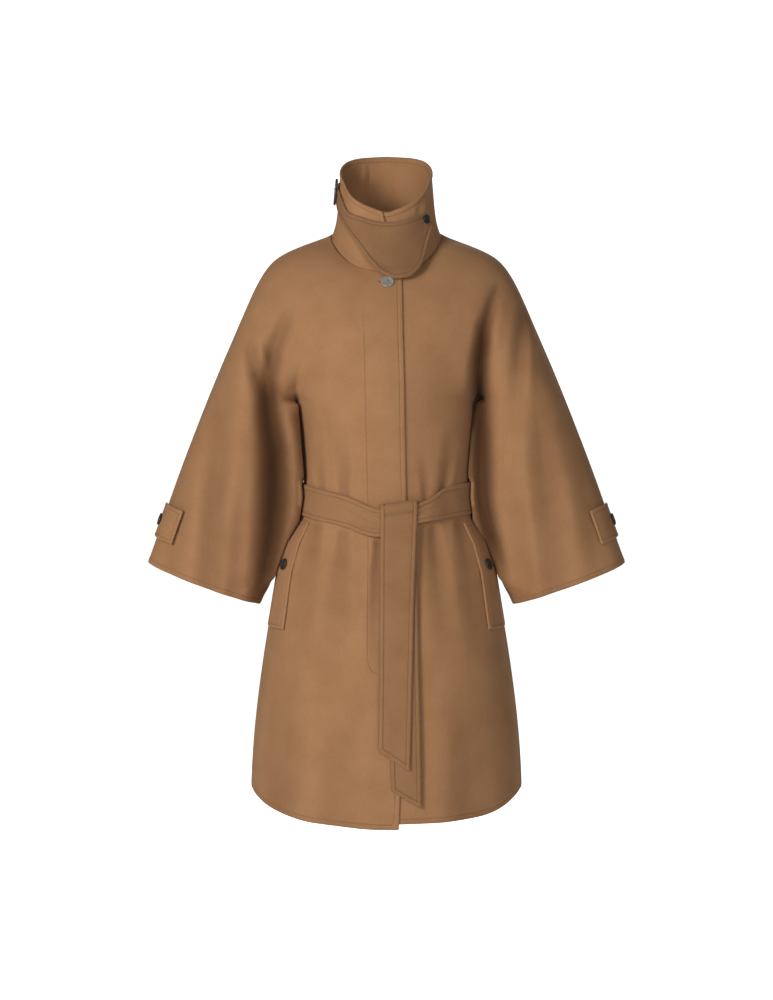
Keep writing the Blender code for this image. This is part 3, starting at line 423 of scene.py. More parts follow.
# Points of one half of the front or back: upper rows, body rows and sleeve rows.
def panelGrid(side, firstAngles, hem):
    outward = sleeveColumnAngles()
    upper = []
    neck = columnAngles(
        (neckHalfWidth, neckEdgeZ), firstAngles, bodyColumns, foldAngle * neckSpread
    )
    spread = (rightAngle - neck[-1]) / (rightAngle - foldAngle)
    neck += [rightAngle - (rightAngle - angle) * spread for angle in outward]
    upper.append([neckPoint(angle, side) for angle in neck])

    def wideAngles(width, z):
        return columnAngles((width, z), firstAngles, bodyColumns, foldAngle) + outward

    for row in yokeRows:
        centreZ = row.frontZ if side < 0 else row.backZ
        depth = getattr(row, depthColumn(side))
        upper.append([
            widePoint(angle, centreZ, row.shoulderX, row.shoulderZ, depth, side)
            for angle in wideAngles(row.shoulderX, centreZ)
        ])
    last = yokeRows[-1]
    firstZ = last.frontZ if side < 0 else last.backZ
    firstDepth = getattr(last, depthColumn(side))
    bodyDepth = getattr(bodyLevels[0], depthColumn(side))
    sleeveAngles = [-rightAngle + math.pi * i / sleeveColumns for i in range(1, sleeveColumns + 1)]
    crotchPlace = (bodyLevels[0].halfWidth, crotchZ)
    for row in range(1, armholeRows + 1):
        turn = rightAngle * row / armholeRows
        down = math.sin(turn)
        centreZ = firstZ + (crotchZ - firstZ) * down
        outerX = armholeTopX + (sleeveTopX - armholeTopX) * down
        outerZ = armholeTopZ + (sleeveTopZ - armholeTopZ) * down
        depth = firstDepth + (bodyDepth - firstDepth) * down
        joined = [
            widePoint(angle, centreZ, outerX, outerZ, depth, side)
            for angle in wideAngles(outerX, centreZ)
        ]
        parted = [
            bodyPoint(crotchZ, angle, side) * (1, 1, 0) + (0, 0, centreZ)
            for angle in columnAngles(crotchPlace, firstAngles, bodyColumns, rightAngle)[:-1]
        ]
        parted.append(np.array([crotchX, 0, centreZ]))
        inner, ringDepth = (sleeveRings[0].innerX, centreZ), getattr(sleeveRings[0], depthColumn(side))
        parted += [
            ringPoint(inner, (outerX, outerZ), side * ringDepth, angle) for angle in sleeveAngles
        ]
        shares = [parting(column, turn) for column in range(len(joined))]
        upper.append([a * (1 - share) + b * share for a, b, share in zip(joined, parted, shares)])

    body = []
    for level in bodyLevels[1:-1]:
        angles = columnAngles((level.halfWidth, level.z), firstAngles, bodyColumns, rightAngle)
        body.append([bodyPoint(level.z, angle, side) for angle in angles])
    width = bodyLevels[-1].halfWidth
    angles = columnAngles((width, hem(0)), firstAngles, bodyColumns, rightAngle)
    body.append([bodyPoint(hem(angle), angle, side) for angle in angles])

    sleeve = [
        [sleevePoint(along, angle, side) for angle in [-rightAngle] + sleeveAngles]
        for along in sleeveRows
    ]
    return upper, body, sleeve


# Four-sided faces between rows of point numbers.
def gridFaces(rows):
    return [
        (above[i], below[i], below[i + 1], above[i + 1])
        for above, below in zip(rows, rows[1:])
        for i in range(len(above) - 1)
    ]


# Adds the rows' points to the list and gives their numbers.
def numbered(rows, points):
    numbers = []
    for row in rows:
        numbers.append(list(range(len(points), len(points) + len(row))))
        points.extend(row)
    return numbers


def surfaceNormals(points, faces):
    normals = np.zeros((len(points), 3))
    for face in faces:
        a, b, c, d = (points[i] for i in face)
        normal = np.cross(c - a, d - b)
        for i in face:
            normals[i] += normal
    return normals


def unit(vectors):
    return vectors / np.linalg.norm(vectors, axis=1)[:, None]


# Outer points, outward normals and faces of one half panel. hand is +1 for the wearer's left.
def garmentPanel(side, firstAngles, hem, hand):
    upper, body, sleeve = panelGrid(side, firstAngles, hem)
    points = []
    upperIds = numbered(upper, points)
    bodyIds = [upperIds[-1][: bodyColumns + 1]] + numbered(body, points)
    sleeveIds = [upperIds[-1][bodyColumns:]] + numbered(sleeve, points)
    faces = gridFaces(upperIds) + gridFaces(bodyIds) + gridFaces(sleeveIds)
    points = np.array(points)
    normals = surfaceNormals(points, faces) * -side
    seam = np.abs(points[:, 1]) < 1e-6
    normals[seam, 1] = 0
    centre = np.abs(points[:, 0]) < 1e-6
    if side > 0:
        normals[centre, 0] = 0
    normals[upperIds[-1][bodyColumns]] = (0, 0, -1)
    normals = unit(normals)
    points[:, 0] *= hand
    normals[:, 0] *= hand
    return points, normals, faces


# Share of the lap's lift at a place across the upper front, from its centre.
def lap(across):
    return 1 - smooth(across, underlapX + lapFade[0], underlapX + lapFade[1])


# Angles of the columns at the front lap. Both fronts have them at the same x.
def lapAngles(upper, width, z):
    across = (frontEdgeX(z), *lapColumnsX, -underlapX)
    if upper:
        return [math.asin(-x / width) for x in across]
    return [math.asin(x / width) for x in reversed(across)]


# Points and faces of a front, with the upper one raised at the lap.
def frontPanel(upper):
    hand = -1 if upper else 1
    points, normals, faces = garmentPanel(
        -1,
        lambda place: lapAngles(upper, *place),
        lambda angle: hemZ(angle, -1, upper),
        hand,
    )
    if upper:
        lift = np.array([lap(x * hand) * lapLift for x in points[:, 0]])
        points = points + normals * lift[:, None]
    return points, faces


def backPanel():
    points, _, faces = garmentPanel(1, lambda _: [0.0], lambda angle: hemZ(angle, 1), 1)
    return points, faces


# A place on a front's own faces between its columns, and the outward normal there.
def frontGridPoint(z, column, upper):
    levels = [level.z for level in bodyLevels]
    row = max(i for i, level in enumerate(levels[:-1]) if z <= level + 1e-9)
    first = min(int(column), bodyColumns - 1)

    def corner(level, number):
        width, _ = bodySize(level, -1)
        angles = columnAngles(
            (width, level), lambda place: lapAngles(upper, *place), bodyColumns, rightAngle
        )
        return bodyPoint(level, angles[number], -1)

    share = (levels[row] - z) / (levels[row] - levels[row + 1])
    left = corner(levels[row], first) * (1 - share) + corner(levels[row + 1], first) * share
    right = corner(levels[row], first + 1) * (1 - share) + corner(levels[row + 1], first + 1) * share
    down = corner(levels[row + 1], first) - corner(levels[row], first)
    normal = np.cross(down, right - left)
    normal *= np.sign(normal[0]) / np.linalg.norm(normal)
    mirror = np.array([-1 if upper else 1, 1, 1])
    return (left + (right - left) * (column - first)) * mirror, normal * mirror


# Collar


# The collar's outer side. Angle 0 is the front centre, +90 the wearer's left.
def collarPoint(angle, height):
    roundAngle = abs((math.degrees(angle) + 180) % 360 - 180)
    column = "frontDepth" if roundAngle < 90 else "backDepth"
    width = readTable(collarRows, "height", "halfWidth", height)
    depth = readTable(collarRows, "height", column, height)
    base = readTable(collarEdges, "angle", "base", roundAngle)
    rim = readTable(collarEdges, "angle", "rim", roundAngle)
    return np.array([width * math.sin(angle), -depth * math.cos(angle), base + (rim - base) * height])


# The collar's outer side at a level, straight down below its base, with its level normal.
def collarAtZ(angle, z):
    roundAngle = abs((math.degrees(angle) + 180) % 360 - 180)
    base = readTable(collarEdges, "angle", "base", roundAngle)
    rim = readTable(collarEdges, "angle", "rim", roundAngle)
    height = min(max((z - base) / (rim - base), 0), 1)
    point = collarPoint(angle, height)
    point[2] = z
    ahead = collarPoint(angle + 0.01, height) - collarPoint(angle - 0.01, height)
    normal = np.array([ahead[1], -ahead[0], 0])
    return point, normal / np.linalg.norm(normal)


# The panels' neckline points from the upper end, past the wearer's right and back, to the under end.
def neckline():
    count = bodyColumns + sleeveColumns
    right = list(frontPanel(True)[0][: count + 1])
    left = list(frontPanel(False)[0][: count + 1])
    back = list(backPanel()[0][: count + 1])
    mirrored = [point * (-1, 1, 1) for point in back]
    return right + mirrored[-2::-1] + back[1:-1] + left[::-1]


# How far the flap stands off for the collar's lap beneath it.
def flapLift(angle):
    if angle < 0:
        leaned = math.radians(angle * flapLapLean)
        return collarLapLift * lap(-collarRows[0].halfWidth * math.sin(leaned))
    return collarLapLift * (1 - smooth(angle, *flapLapAngles))


# How far the flap's inner side stands off the collar.
def flapStand(angle, z):
    low = smooth(z, *flapStandZ) * smooth(angle, *flapStandAngles)
    return flapRest + flapPointStand * low + flapLift(angle)


# Belt


# The waist's surface under the belt, its level normal, and the belt's height off it.
def beltRingPoint(angle, share):
    side = -1 if math.cos(angle) > 1e-9 else 1
    x = bodySize(beltBackZ, side)[0] * math.sin(angle)
    if side < 0:
        middle = readTable(beltFront, "x", "middleZ", x)
        half = readTable(beltFront, "x", "halfHeight", x)
    else:
        blend = smooth(-math.cos(angle), 0, beltBackBlend)
        middle = readTable(beltFront, "x", "middleZ", x) * (1 - blend) + beltBackZ * blend
        half = beltFront[0].halfHeight
    z = middle + share * half
    width, depth = bodySize(z, side)
    point = np.array([width * math.sin(angle), -depth * math.cos(angle), z])
    if side > 0:
        point[1] = depth * abs(math.cos(angle))
    normal = np.array([math.sin(angle) / width, -math.cos(angle) / depth, 0])
    normal /= np.linalg.norm(normal)
    stand = beltStand
    if side < 0:
        pastKnot = 1 - smooth(x, knotX[2], knotX[3])
        stand += (lapLift * lap(-x) + knotStand * smooth(x, knotX[0], knotX[1])) * pastKnot
    return point, normal, stand


# How far the belt's two sides stand off the body at the knot.
def beltStands():
    inner = beltStand + knotStand + lapLift
    return inner, inner + beltWall


# A place on the sleeve's outer side, past 90 degrees on its back, with its normal.
def sleeveSurface(along, degrees, hand):
    def at(a, d):
        side = -1 if d <= 90 else 1
        return sleevePoint(a, math.radians(d if d <= 90 else 180 - d), side)

    point = at(along, degrees)
    roundStep = at(along, degrees + 2) - at(along, degrees - 2)
    downStep = at(along + 0.02, degrees) - at(along - 0.02, degrees)
    normal = np.cross(downStep, roundStep)
    outward = point - (at(along, 90) + at(along, -90)) / 2
    normal *= np.sign(np.dot(normal, outward))
    normal /= np.linalg.norm(normal)
    mirror = np.array([hand, 1, 1])
    return point * mirror, normal * mirror


# Fine meshes


# A rough grid subdivided into fine quads.
def refined(points, faces, levels):
    rough = bpy.data.meshes.new("rough")
    rough.from_pydata([tuple(map(float, p)) for p in points], [], [tuple(map(int, f)) for f in faces])
    holder = bpy.data.objects.new("rough", rough)
    bpy.context.scene.collection.objects.link(holder)
    fine = holder.modifiers.new("Fine", "SUBSURF")
    fine.levels = fine.render_levels = levels
    fine.boundary_smooth = "PRESERVE_CORNERS"
    mesh = bpy.data.meshes.new_from_object(holder.evaluated_get(bpy.context.evaluated_depsgraph_get()))
    place = np.empty(len(mesh.vertices) * 3)
    mesh.vertices.foreach_get("co", place)
    corners = np.empty(len(mesh.loops), int)
    mesh.loops.foreach_get("vertex_index", corners)
    bpy.data.objects.remove(holder)
    bpy.data.meshes.remove(rough)
    bpy.data.meshes.remove(mesh)
    return place.reshape(-1, 3), corners.reshape(-1, 4)


def vertexNormals(points, quads):
    a, b, c, d = (points[quads[:, i]] for i in range(4))
    normal = np.cross(c - a, d - b)
    total = np.zeros_like(points)
    for i in range(4):
        np.add.at(total, quads[:, i], normal)
    return total / np.maximum(np.linalg.norm(total, axis=1), 1e-12)[:, None]


# Quads turned so that their normals agree with the outward directions given.
def facingOut(points, quads, outward):
    normals = vertexNormals(points, quads)
    return quads[:, ::-1] if np.einsum("ij,ij->i", normals, outward).sum() < 0 else quads


def borderPairs(quads):
    start, end = quads.ravel(), np.roll(quads, -1, axis=1).ravel()
    count = quads.max() + 1
    alone = ~np.isin(start * count + end, end * count + start)
    return np.stack([start[alone], end[alone]], axis=1)


def onBorder(quads):
    ends = np.zeros(quads.max() + 1, bool)
    ends[borderPairs(quads)] = True
    return ends


# For each point, the distance to the nearest finished edge and the length along that edge.
def edgeFields(points, quads, finished):
    pairs = [(a, b) for a, b in borderPairs(quads) if finished[a] and finished[b]]
    after = dict(pairs)
    before = {b: a for a, b in pairs}
    order, along, seen = [], {}, set()
    for first in [a for a in after if a not in before] + list(after):
        if first in seen:
            continue
        at, length = first, 0.0
        while at is not None and at not in seen:
            seen.add(at)
            order.append(at)
            along[at] = length
            to = after.get(at)
            if to is not None:
                length += float(np.linalg.norm(points[to] - points[at]))
            at = to
    tree = kdtree.KDTree(len(order))
    for i, vertex in enumerate(order):
        tree.insert(points[vertex], i)
    tree.balance()
    distance, place = np.empty(len(points)), np.empty(len(points))
    for i, point in enumerate(points):
        _, nearest, away = tree.find(point)
        vertex = order[nearest]
        distance[i], place[i] = away, along[vertex]
    return distance, place


farAway = 1.0
# How far a finished edge bulges, as a share of its wall
rimShare = 0.42
fieldNames = ("edge", "along", "seam", "stitch", "stitchAlong", "shade")


# A closed shell between an outer and an inner surface, with a rounded rim on its finished edges.
def shellPiece(name, node, outer, inner, quads, finished, fields):
    count = len(outer)
    pairs = borderPairs(quads)
    normals = vertexNormals(outer, quads)
    wallSize = np.linalg.norm(outer - inner, axis=1)
    sideways = np.zeros_like(outer)
    for a, b in pairs:
        away = np.cross(outer[b] - outer[a], normals[a] + normals[b])
        sideways[a] += away
        sideways[b] += away
    rim = np.unique(pairs)
    push = sideways[rim] / np.maximum(np.linalg.norm(sideways[rim], axis=1), 1e-12)[:, None]
    push *= (finished[rim] * wallSize[rim] * rimShare)[:, None]
    middle = (outer[rim] + inner[rim]) / 2 + push
    ring = np.full(count, -1)
    ring[rim] = np.arange(len(rim)) + 2 * count
    a, b = pairs[:, 0], pairs[:, 1]
    faces = np.concatenate([
        quads,
        quads[:, ::-1] + count,
        np.stack([b, a, ring[a], ring[b]], axis=1),
        np.stack([ring[b], ring[a], a + count, b + count], axis=1),
    ])
    mesh = bpy.data.meshes.new(name)
    points = np.concatenate([outer, inner, middle])
    mesh.from_pydata(points.tolist(), [], faces.tolist())
    mesh.shade_smooth()
    for field in fieldNames:
        values = fields.get(field, np.full(count, 0.0 if field == "shade" else farAway))
        store = mesh.attributes.new(field, "FLOAT", "POINT")
        store.data.foreach_set("value", np.concatenate([values, values, values[rim]]).astype(np.float32))
    mesh.materials.append(woolMaterial(node, paintedPieceShade.get(node, 1.0)))
    a, b, c, d = (outer[quads[:, i]] for i in range(4))
    print(f"{name}: cloth {np.linalg.norm(np.cross(c - a, d - b), axis=1).sum() / 2:.4f} m2")
    placed(name, mesh, node, node)


def placed(name, mesh, slotName, *nodes):
    piece = bpy.data.objects.new(name, mesh)
    bpy.context.scene.collection.objects.link(piece)
    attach(piece, "root")
    if nodes:
        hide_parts(*nodes)
    print(f"{name}: {len(mesh.vertices)} points, {sum(p.loop_total - 2 for p in mesh.polygons)} triangles")


# Quads over a grid of rows and columns, joined round where it is a ring.
def gridQuads(rows, columns, ring=False):
    ids = np.arange(rows * columns).reshape(rows, columns)
    right = np.roll(ids, -1, axis=1) if ring else ids[:, 1:]
    left = ids if ring else ids[:, :-1]
    return np.stack([left[:-1], left[1:], right[1:], right[:-1]], axis=-1).reshape(-1, 4)


def bell(value, middle, width):
    return np.exp(-(((value - middle) / width) ** 2))


def ramp(value, start, end):
    t = np.clip((np.asarray(value, float) - start) / (end - start), 0, 1)
    return t * t * (3 - 2 * t)


sewnEdge = {"rise": 0.0025, "fall": 0.001, "groove": 0.8, "grooveWidth": 0.0012}


# How a doubled, topstitched edge lies: full between the edge and its stitching, with a groove along it.
def edgeRelief(edge, stitchAt, height):
    full = 1 - ramp(edge, stitchAt - sewnEdge["fall"], stitchAt + sewnEdge["fall"])
    full = np.minimum(edge / sewnEdge["rise"], 1) * full
    return height * full - height * sewnEdge["groove"] * bell(edge, stitchAt, sewnEdge["grooveWidth"])


FoldPoint = namedtuple("FoldPoint", "x z width depth")

# In widths of the fold: where its banks stand and how wide they are, and how far its painted shade reaches
foldShape = {"bankAt": 1.6, "bankWidth": 0.6, "fullShade": 0.020, "shadeReach": 1.12, "shadePower": 3.2}


# One fold by the rows of its line: x, z, width and depth. lean makes the bank on one side higher
def fold(*rows, lean=0.0, bank=0.3, power=1.7):
    return {"line": [FoldPoint(*row) for row in rows], "lean": lean, "bank": bank, "power": power}


# Folds are troughs along lines in the front view, with a soft bank on each side. The second result is painted
# shade: how far the fold shuts out the light, which darkens the colour
def foldRelief(points, folds):
    x, z = points[:, 0], points[:, 2]
    total, shade = np.zeros(len(points)), np.zeros(len(points))
    for one in folds:
        best = np.full(len(points), 99.0)
        depth, hand = np.zeros(len(points)), np.zeros(len(points))
        for a, b in zip(one["line"], one["line"][1:]):
            dx, dz = b.x - a.x, b.z - a.z
            t = np.clip(((x - a.x) * dx + (z - a.z) * dz) / (dx * dx + dz * dz), 0, 1)
            offX, offZ = x - a.x - t * dx, z - a.z - t * dz
            across = np.hypot(offX, offZ) / (a.width + (b.width - a.width) * t)
            nearer = across < best
            best = np.where(nearer, across, best)
            depth = np.where(nearer, a.depth + (b.depth - a.depth) * t, depth)
            hand = np.where(nearer, np.sign(dx * offZ - dz * offX), hand)
        bank = bell(best, foldShape["bankAt"], foldShape["bankWidth"])
        bank = bank * one["bank"] * (1 + hand * one["lean"])
        total += depth * (bank - np.exp(-np.abs(best) ** one["power"]))
        # Painted shade, fullest in the deepest folds
        inside = np.exp(-np.abs(best / foldShape["shadeReach"]) ** foldShape["shadePower"])
        shade = np.maximum(shade, np.clip(depth / foldShape["fullShade"], 0, 1) * inside)
    return total, shade


# Materials


class Graph:
    def __init__(self, tree):
        self.tree = tree

    def node(self, kind, inputs=None, **settings):
        made = self.tree.nodes.new("ShaderNode" + kind)
        for name, value in settings.items():
            setattr(made, name, value)
        for name, value in (inputs or {}).items():
            self.give(made.inputs[name], value)
        return made

    def give(self, socket, value):
        if isinstance(value, bpy.types.NodeSocket):
            self.tree.links.new(value, socket)
        else:
            socket.default_value = value

    def math(self, operation, a, b=0.0, c=0.0, clamp=False):
        made = self.node("Math", {0: a, 1: b, 2: c}, operation=operation, use_clamp=clamp)
        return made.outputs[0]

    def field(self, name):
        return self.node("Attribute", attribute_name=name).outputs["Fac"]

    # A value of one range carried over to another
    def span(self, value, start, end, low=0.0, high=1.0, **settings):
        given = {"Value": value, "From Min": start, "From Max": end, "To Min": low, "To Max": high}
        return self.node("MapRange", given, **settings).outputs["Result"]

    # 1 at the middle, falling softly to 0 at the width given
    def line(self, value, middle, width):
        away = self.math("ABSOLUTE", self.math("SUBTRACT", value, middle))
        return self.span(away, 0.0, width, 1.0, 0.0, interpolation_type="SMOOTHSTEP")

    def noise(self, scale, detail=2.0, stretch=(1.0, 1.0, 1.0), roughness=0.5):
        place = self.node("TexCoord").outputs["Object"]
        spread = self.node("Mapping", {"Vector": place, "Scale": stretch}).outputs["Vector"]
        given = {"Vector": spread, "Scale": scale, "Detail": detail, "Roughness": roughness}
        return self.node("TexNoise", given).outputs["Fac"]

    def mix(self, share, a, b):
        made = self.node("Mix", data_type="RGBA")
        self.give(made.inputs[0], share)
        self.give(made.inputs[6], a)
        self.give(made.inputs[7], b)
        return made.outputs[2]


wool = {
    "colour": (0.385, 0.196, 0.090, 1),
    "deep": (0.290, 0.137, 0.058, 1),
    "light": (0.470, 0.262, 0.135, 1),
    "sewnDark": (0.150, 0.066, 0.027, 1),
    # Painted shade colour for the deep folds
    "paintedFoldShade": (0.046, 0.015, 0.004, 1),
    # Shares of the noises in the tone, and the tones at which the deep and the light wool show
    "toneShares": {"nap": 0.34, "fibre": 0.18, "cloud": 0.30, "broad": 0.18},
    "deepTone": (0.36, 0.5),
    "deepShare": 0.55,
    "lightTone": (0.5, 0.66),
    "lightShare": 0.45,
    "stitchAt": 0.0068,
    "stitchLength": 0.0036,
    "stitchWidth": 0.0014,
    "seamWidth": 0.0011,
    "stitchDarkness": 0.32,
    "seamDarkness": 0.5,
    "threadShare": 0.25,
    # Painted shade: how far the colour goes towards the fold shade colour deep in a fold
    "shade": 0.86,
    "napHeight": 0.00030,
    "fibreHeight": 0.00014,
    "stitchHeight": -0.00075,
    "threadHeight": 0.00035,
    "seamHeight": -0.0009,
}


# Brushed wool with its topstitching and seams, and painted shade in its folds: colour, roughness and bump
# height
def woolGroup():
    tree = bpy.data.node_groups.new("woolCloth", "ShaderNodeTree")
    for label, kind in (("Colour", "Color"), ("Roughness", "Float"), ("Height", "Float")):
        tree.interface.new_socket(label, in_out="OUTPUT", socket_type="NodeSocket" + kind)
    result = tree.nodes.new("NodeGroupOutput")
    g = Graph(tree)
    nap = g.noise(900, 3, (1.0, 1.0, 0.34), 0.6)
    fibre = g.noise(2600, 2, (1.0, 1.0, 0.5), 0.6)
    shares = wool["toneShares"]
    tone = g.math("ADD", g.math("MULTIPLY", nap, shares["nap"]), g.math("MULTIPLY", fibre, shares["fibre"]))
    tone = g.math("MULTIPLY_ADD", g.noise(26, 3), shares["cloud"], tone)
    tone = g.math("MULTIPLY_ADD", g.noise(7, 2), shares["broad"], tone)
    low = g.span(tone, *wool["deepTone"], 1.0, 0.0)
    high = g.span(tone, *wool["lightTone"])
    colour = g.mix(g.math("MULTIPLY", low, wool["deepShare"]), wool["colour"], wool["deep"])
    colour = g.mix(g.math("MULTIPLY", high, wool["lightShare"]), colour, wool["light"])

    # A stitched line's groove, and the thread in it
    def sewn(distance, place):
        groove = g.line(distance, 0.0, wool["stitchWidth"])
        turn = g.math("MULTIPLY", place, 2 * math.pi / wool["stitchLength"])
        dash = g.math("MULTIPLY_ADD", g.math("SINE", turn), 0.5, 0.5)
        return groove, g.math("MULTIPLY", groove, dash)

    edgeGroove, edgeThread = sewn(g.math("SUBTRACT", g.field("edge"), wool["stitchAt"]), g.field("along"))
    lineGroove, lineThread = sewn(g.field("stitch"), g.field("stitchAlong"))
    groove = g.math("MAXIMUM", edgeGroove, lineGroove)
    thread = g.math("MAXIMUM", edgeThread, lineThread)
    seam = g.line(g.field("seam"), 0.0, wool["seamWidth"])
    stitchDark = g.math("MULTIPLY", groove, wool["stitchDarkness"])
    seamDark = g.math("MULTIPLY", seam, wool["seamDarkness"])
    colour = g.mix(g.math("MAXIMUM", stitchDark, seamDark), colour, wool["sewnDark"])
    # Painted shade: the colour darkens where the folds and the sleeve's roll shut out the light
    colour = g.mix(g.math("MULTIPLY", g.field("shade"), wool["shade"]), colour, wool["paintedFoldShade"])
    colour = g.mix(g.math("MULTIPLY", thread, wool["threadShare"]), colour, wool["light"])
    height = g.math("MULTIPLY", nap, wool["napHeight"])
    reliefs = {"fibreHeight": fibre, "stitchHeight": groove, "threadHeight": thread, "seamHeight": seam}
    for size, relief in reliefs.items():
        height = g.math("MULTIPLY_ADD", relief, wool[size], height)
    g.give(result.inputs["Colour"], colour)
    g.give(result.inputs["Roughness"], g.math("MULTIPLY_ADD", fibre, 0.16, 0.78))
    g.give(result.inputs["Height"], height)
    return tree


def principled(material):
    material.use_nodes = True
    return material.node_tree.nodes["Principled BSDF"]


woolTree = woolGroup()
# Painted shade: some pieces are darkened as a whole to stand in for the shade they lie in
paintedPieceShade = {"collar_flap": 0.71, "belt_waist": 0.86, "belt_tail_front": 0.84, "belt_tail_rear": 0.80}


def woolMaterial(name, shade=1.0):
    material = bpy.data.materials.new(name)
    shader = principled(material)
    g = Graph(material.node_tree)
    cloth = g.node("Group", node_tree=woolTree)
    # Painted shade: the colour's value is lowered by the piece's share
    colour = g.node("HueSaturation", {"Color": cloth.outputs["Colour"], "Value": shade}).outputs["Color"]
    bump = g.node("Bump", {"Height": cloth.outputs["Height"], "Strength": 0.9, "Distance": 1.0})
    g.give(shader.inputs["Base Color"], colour)
    g.give(shader.inputs["Roughness"], cloth.outputs["Roughness"])
    g.give(shader.inputs["Normal"], bump.outputs["Normal"])
    shader.inputs["Specular IOR Level"].default_value = 0.18
    shader.inputs["Sheen Weight"].default_value = 0.22
    shader.inputs["Sheen Roughness"].default_value = 0.42
    shader.inputs["Sheen Tint"].default_value = (1.0, 0.74, 0.52, 1)
    return material


# Streaked horn for the buttons
def hornMaterial(name, dark, light):
    material = bpy.data.materials.new(name)
    shader = principled(material)
    g = Graph(material.node_tree)
    streak = g.noise(260, 4, (1.0, 1.0, 3.0), 0.6)
    share = g.span(streak, 0.35, 0.68)
    fine = g.noise(1800, 2)
    bump = g.node("Bump", {"Height": g.math("MULTIPLY", fine, 0.00004), "Strength": 0.6, "Distance": 1.0})
    g.give(shader.inputs["Base Color"], g.mix(share, dark, light))
    g.give(shader.inputs["Roughness"], g.math("MULTIPLY_ADD", streak, 0.25, 0.22))
    g.give(shader.inputs["Normal"], bump.outputs["Normal"])
    return material


def leatherMaterial(name):
    material = bpy.data.materials.new(name)
    shader = principled(material)
    g = Graph(material.node_tree)
    grain = g.noise(1400, 3)
    wear = g.noise(150, 3)
    colour = g.mix(g.span(wear, 0.45, 0.7), (0.030, 0.014, 0.009, 1), (0.085, 0.042, 0.026, 1))
    bump = g.node("Bump", {"Height": g.math("MULTIPLY", grain, 0.00012), "Strength": 0.7, "Distance": 1.0})
    g.give(shader.inputs["Base Color"], colour)
    g.give(shader.inputs["Roughness"], g.math("MULTIPLY_ADD", grain, 0.2, 0.30))
    g.give(shader.inputs["Normal"], bump.outputs["Normal"])
    return material


def metalMaterial(name):
    material = bpy.data.materials.new(name)
    shader = principled(material)
    g = Graph(material.node_tree)
    brushed = g.noise(900, 2, (1.0, 1.0, 0.15))
    g.give(shader.inputs["Base Color"], g.mix(brushed, (0.30, 0.26, 0.22, 1), (0.52, 0.46, 0.40, 1)))
    g.give(shader.inputs["Roughness"], g.math("MULTIPLY_ADD", brushed, 0.2, 0.22))
    shader.inputs["Metallic"].default_value = 1.0
    return material


def threadMaterial(name, colour):
    material = bpy.data.materials.new(name)
    shader = principled(material)
    g = Graph(material.node_tree)
    twist = g.noise(2400, 2)
    g.give(shader.inputs["Base Color"], g.mix(twist, tuple(c * 0.7 for c in colour[:3]) + (1,), colour))
    shader.inputs["Roughness"].default_value = 0.7
    shader.inputs["Sheen Weight"].default_value = 0.3
    return material


print("shapes read")

# Fronts and back

panel = {
    # The subdivided cage lies a little inside the walls, so it is let out by this much
    "letOut": 0.0009,
    "wall": 0.0026,
    "seamDip": 0.0009,
    "seamBank": 0.0005,
    # The cloth is held at its seams and free from about this far off
    "seamHold": 0.018,
    "edgeHeight": 0.0005,
    # Share of the way to the seam plane that a fold may go in, less at the sleeve's roll
    "foldReach": 0.74,
    "rollReach": 0.36,
    "rollWidth": 0.011,
    # Painted shade on the sleeve's roll beside the body
    "rollShade": 0.6,
    "neckEndZ": -0.0605,
}

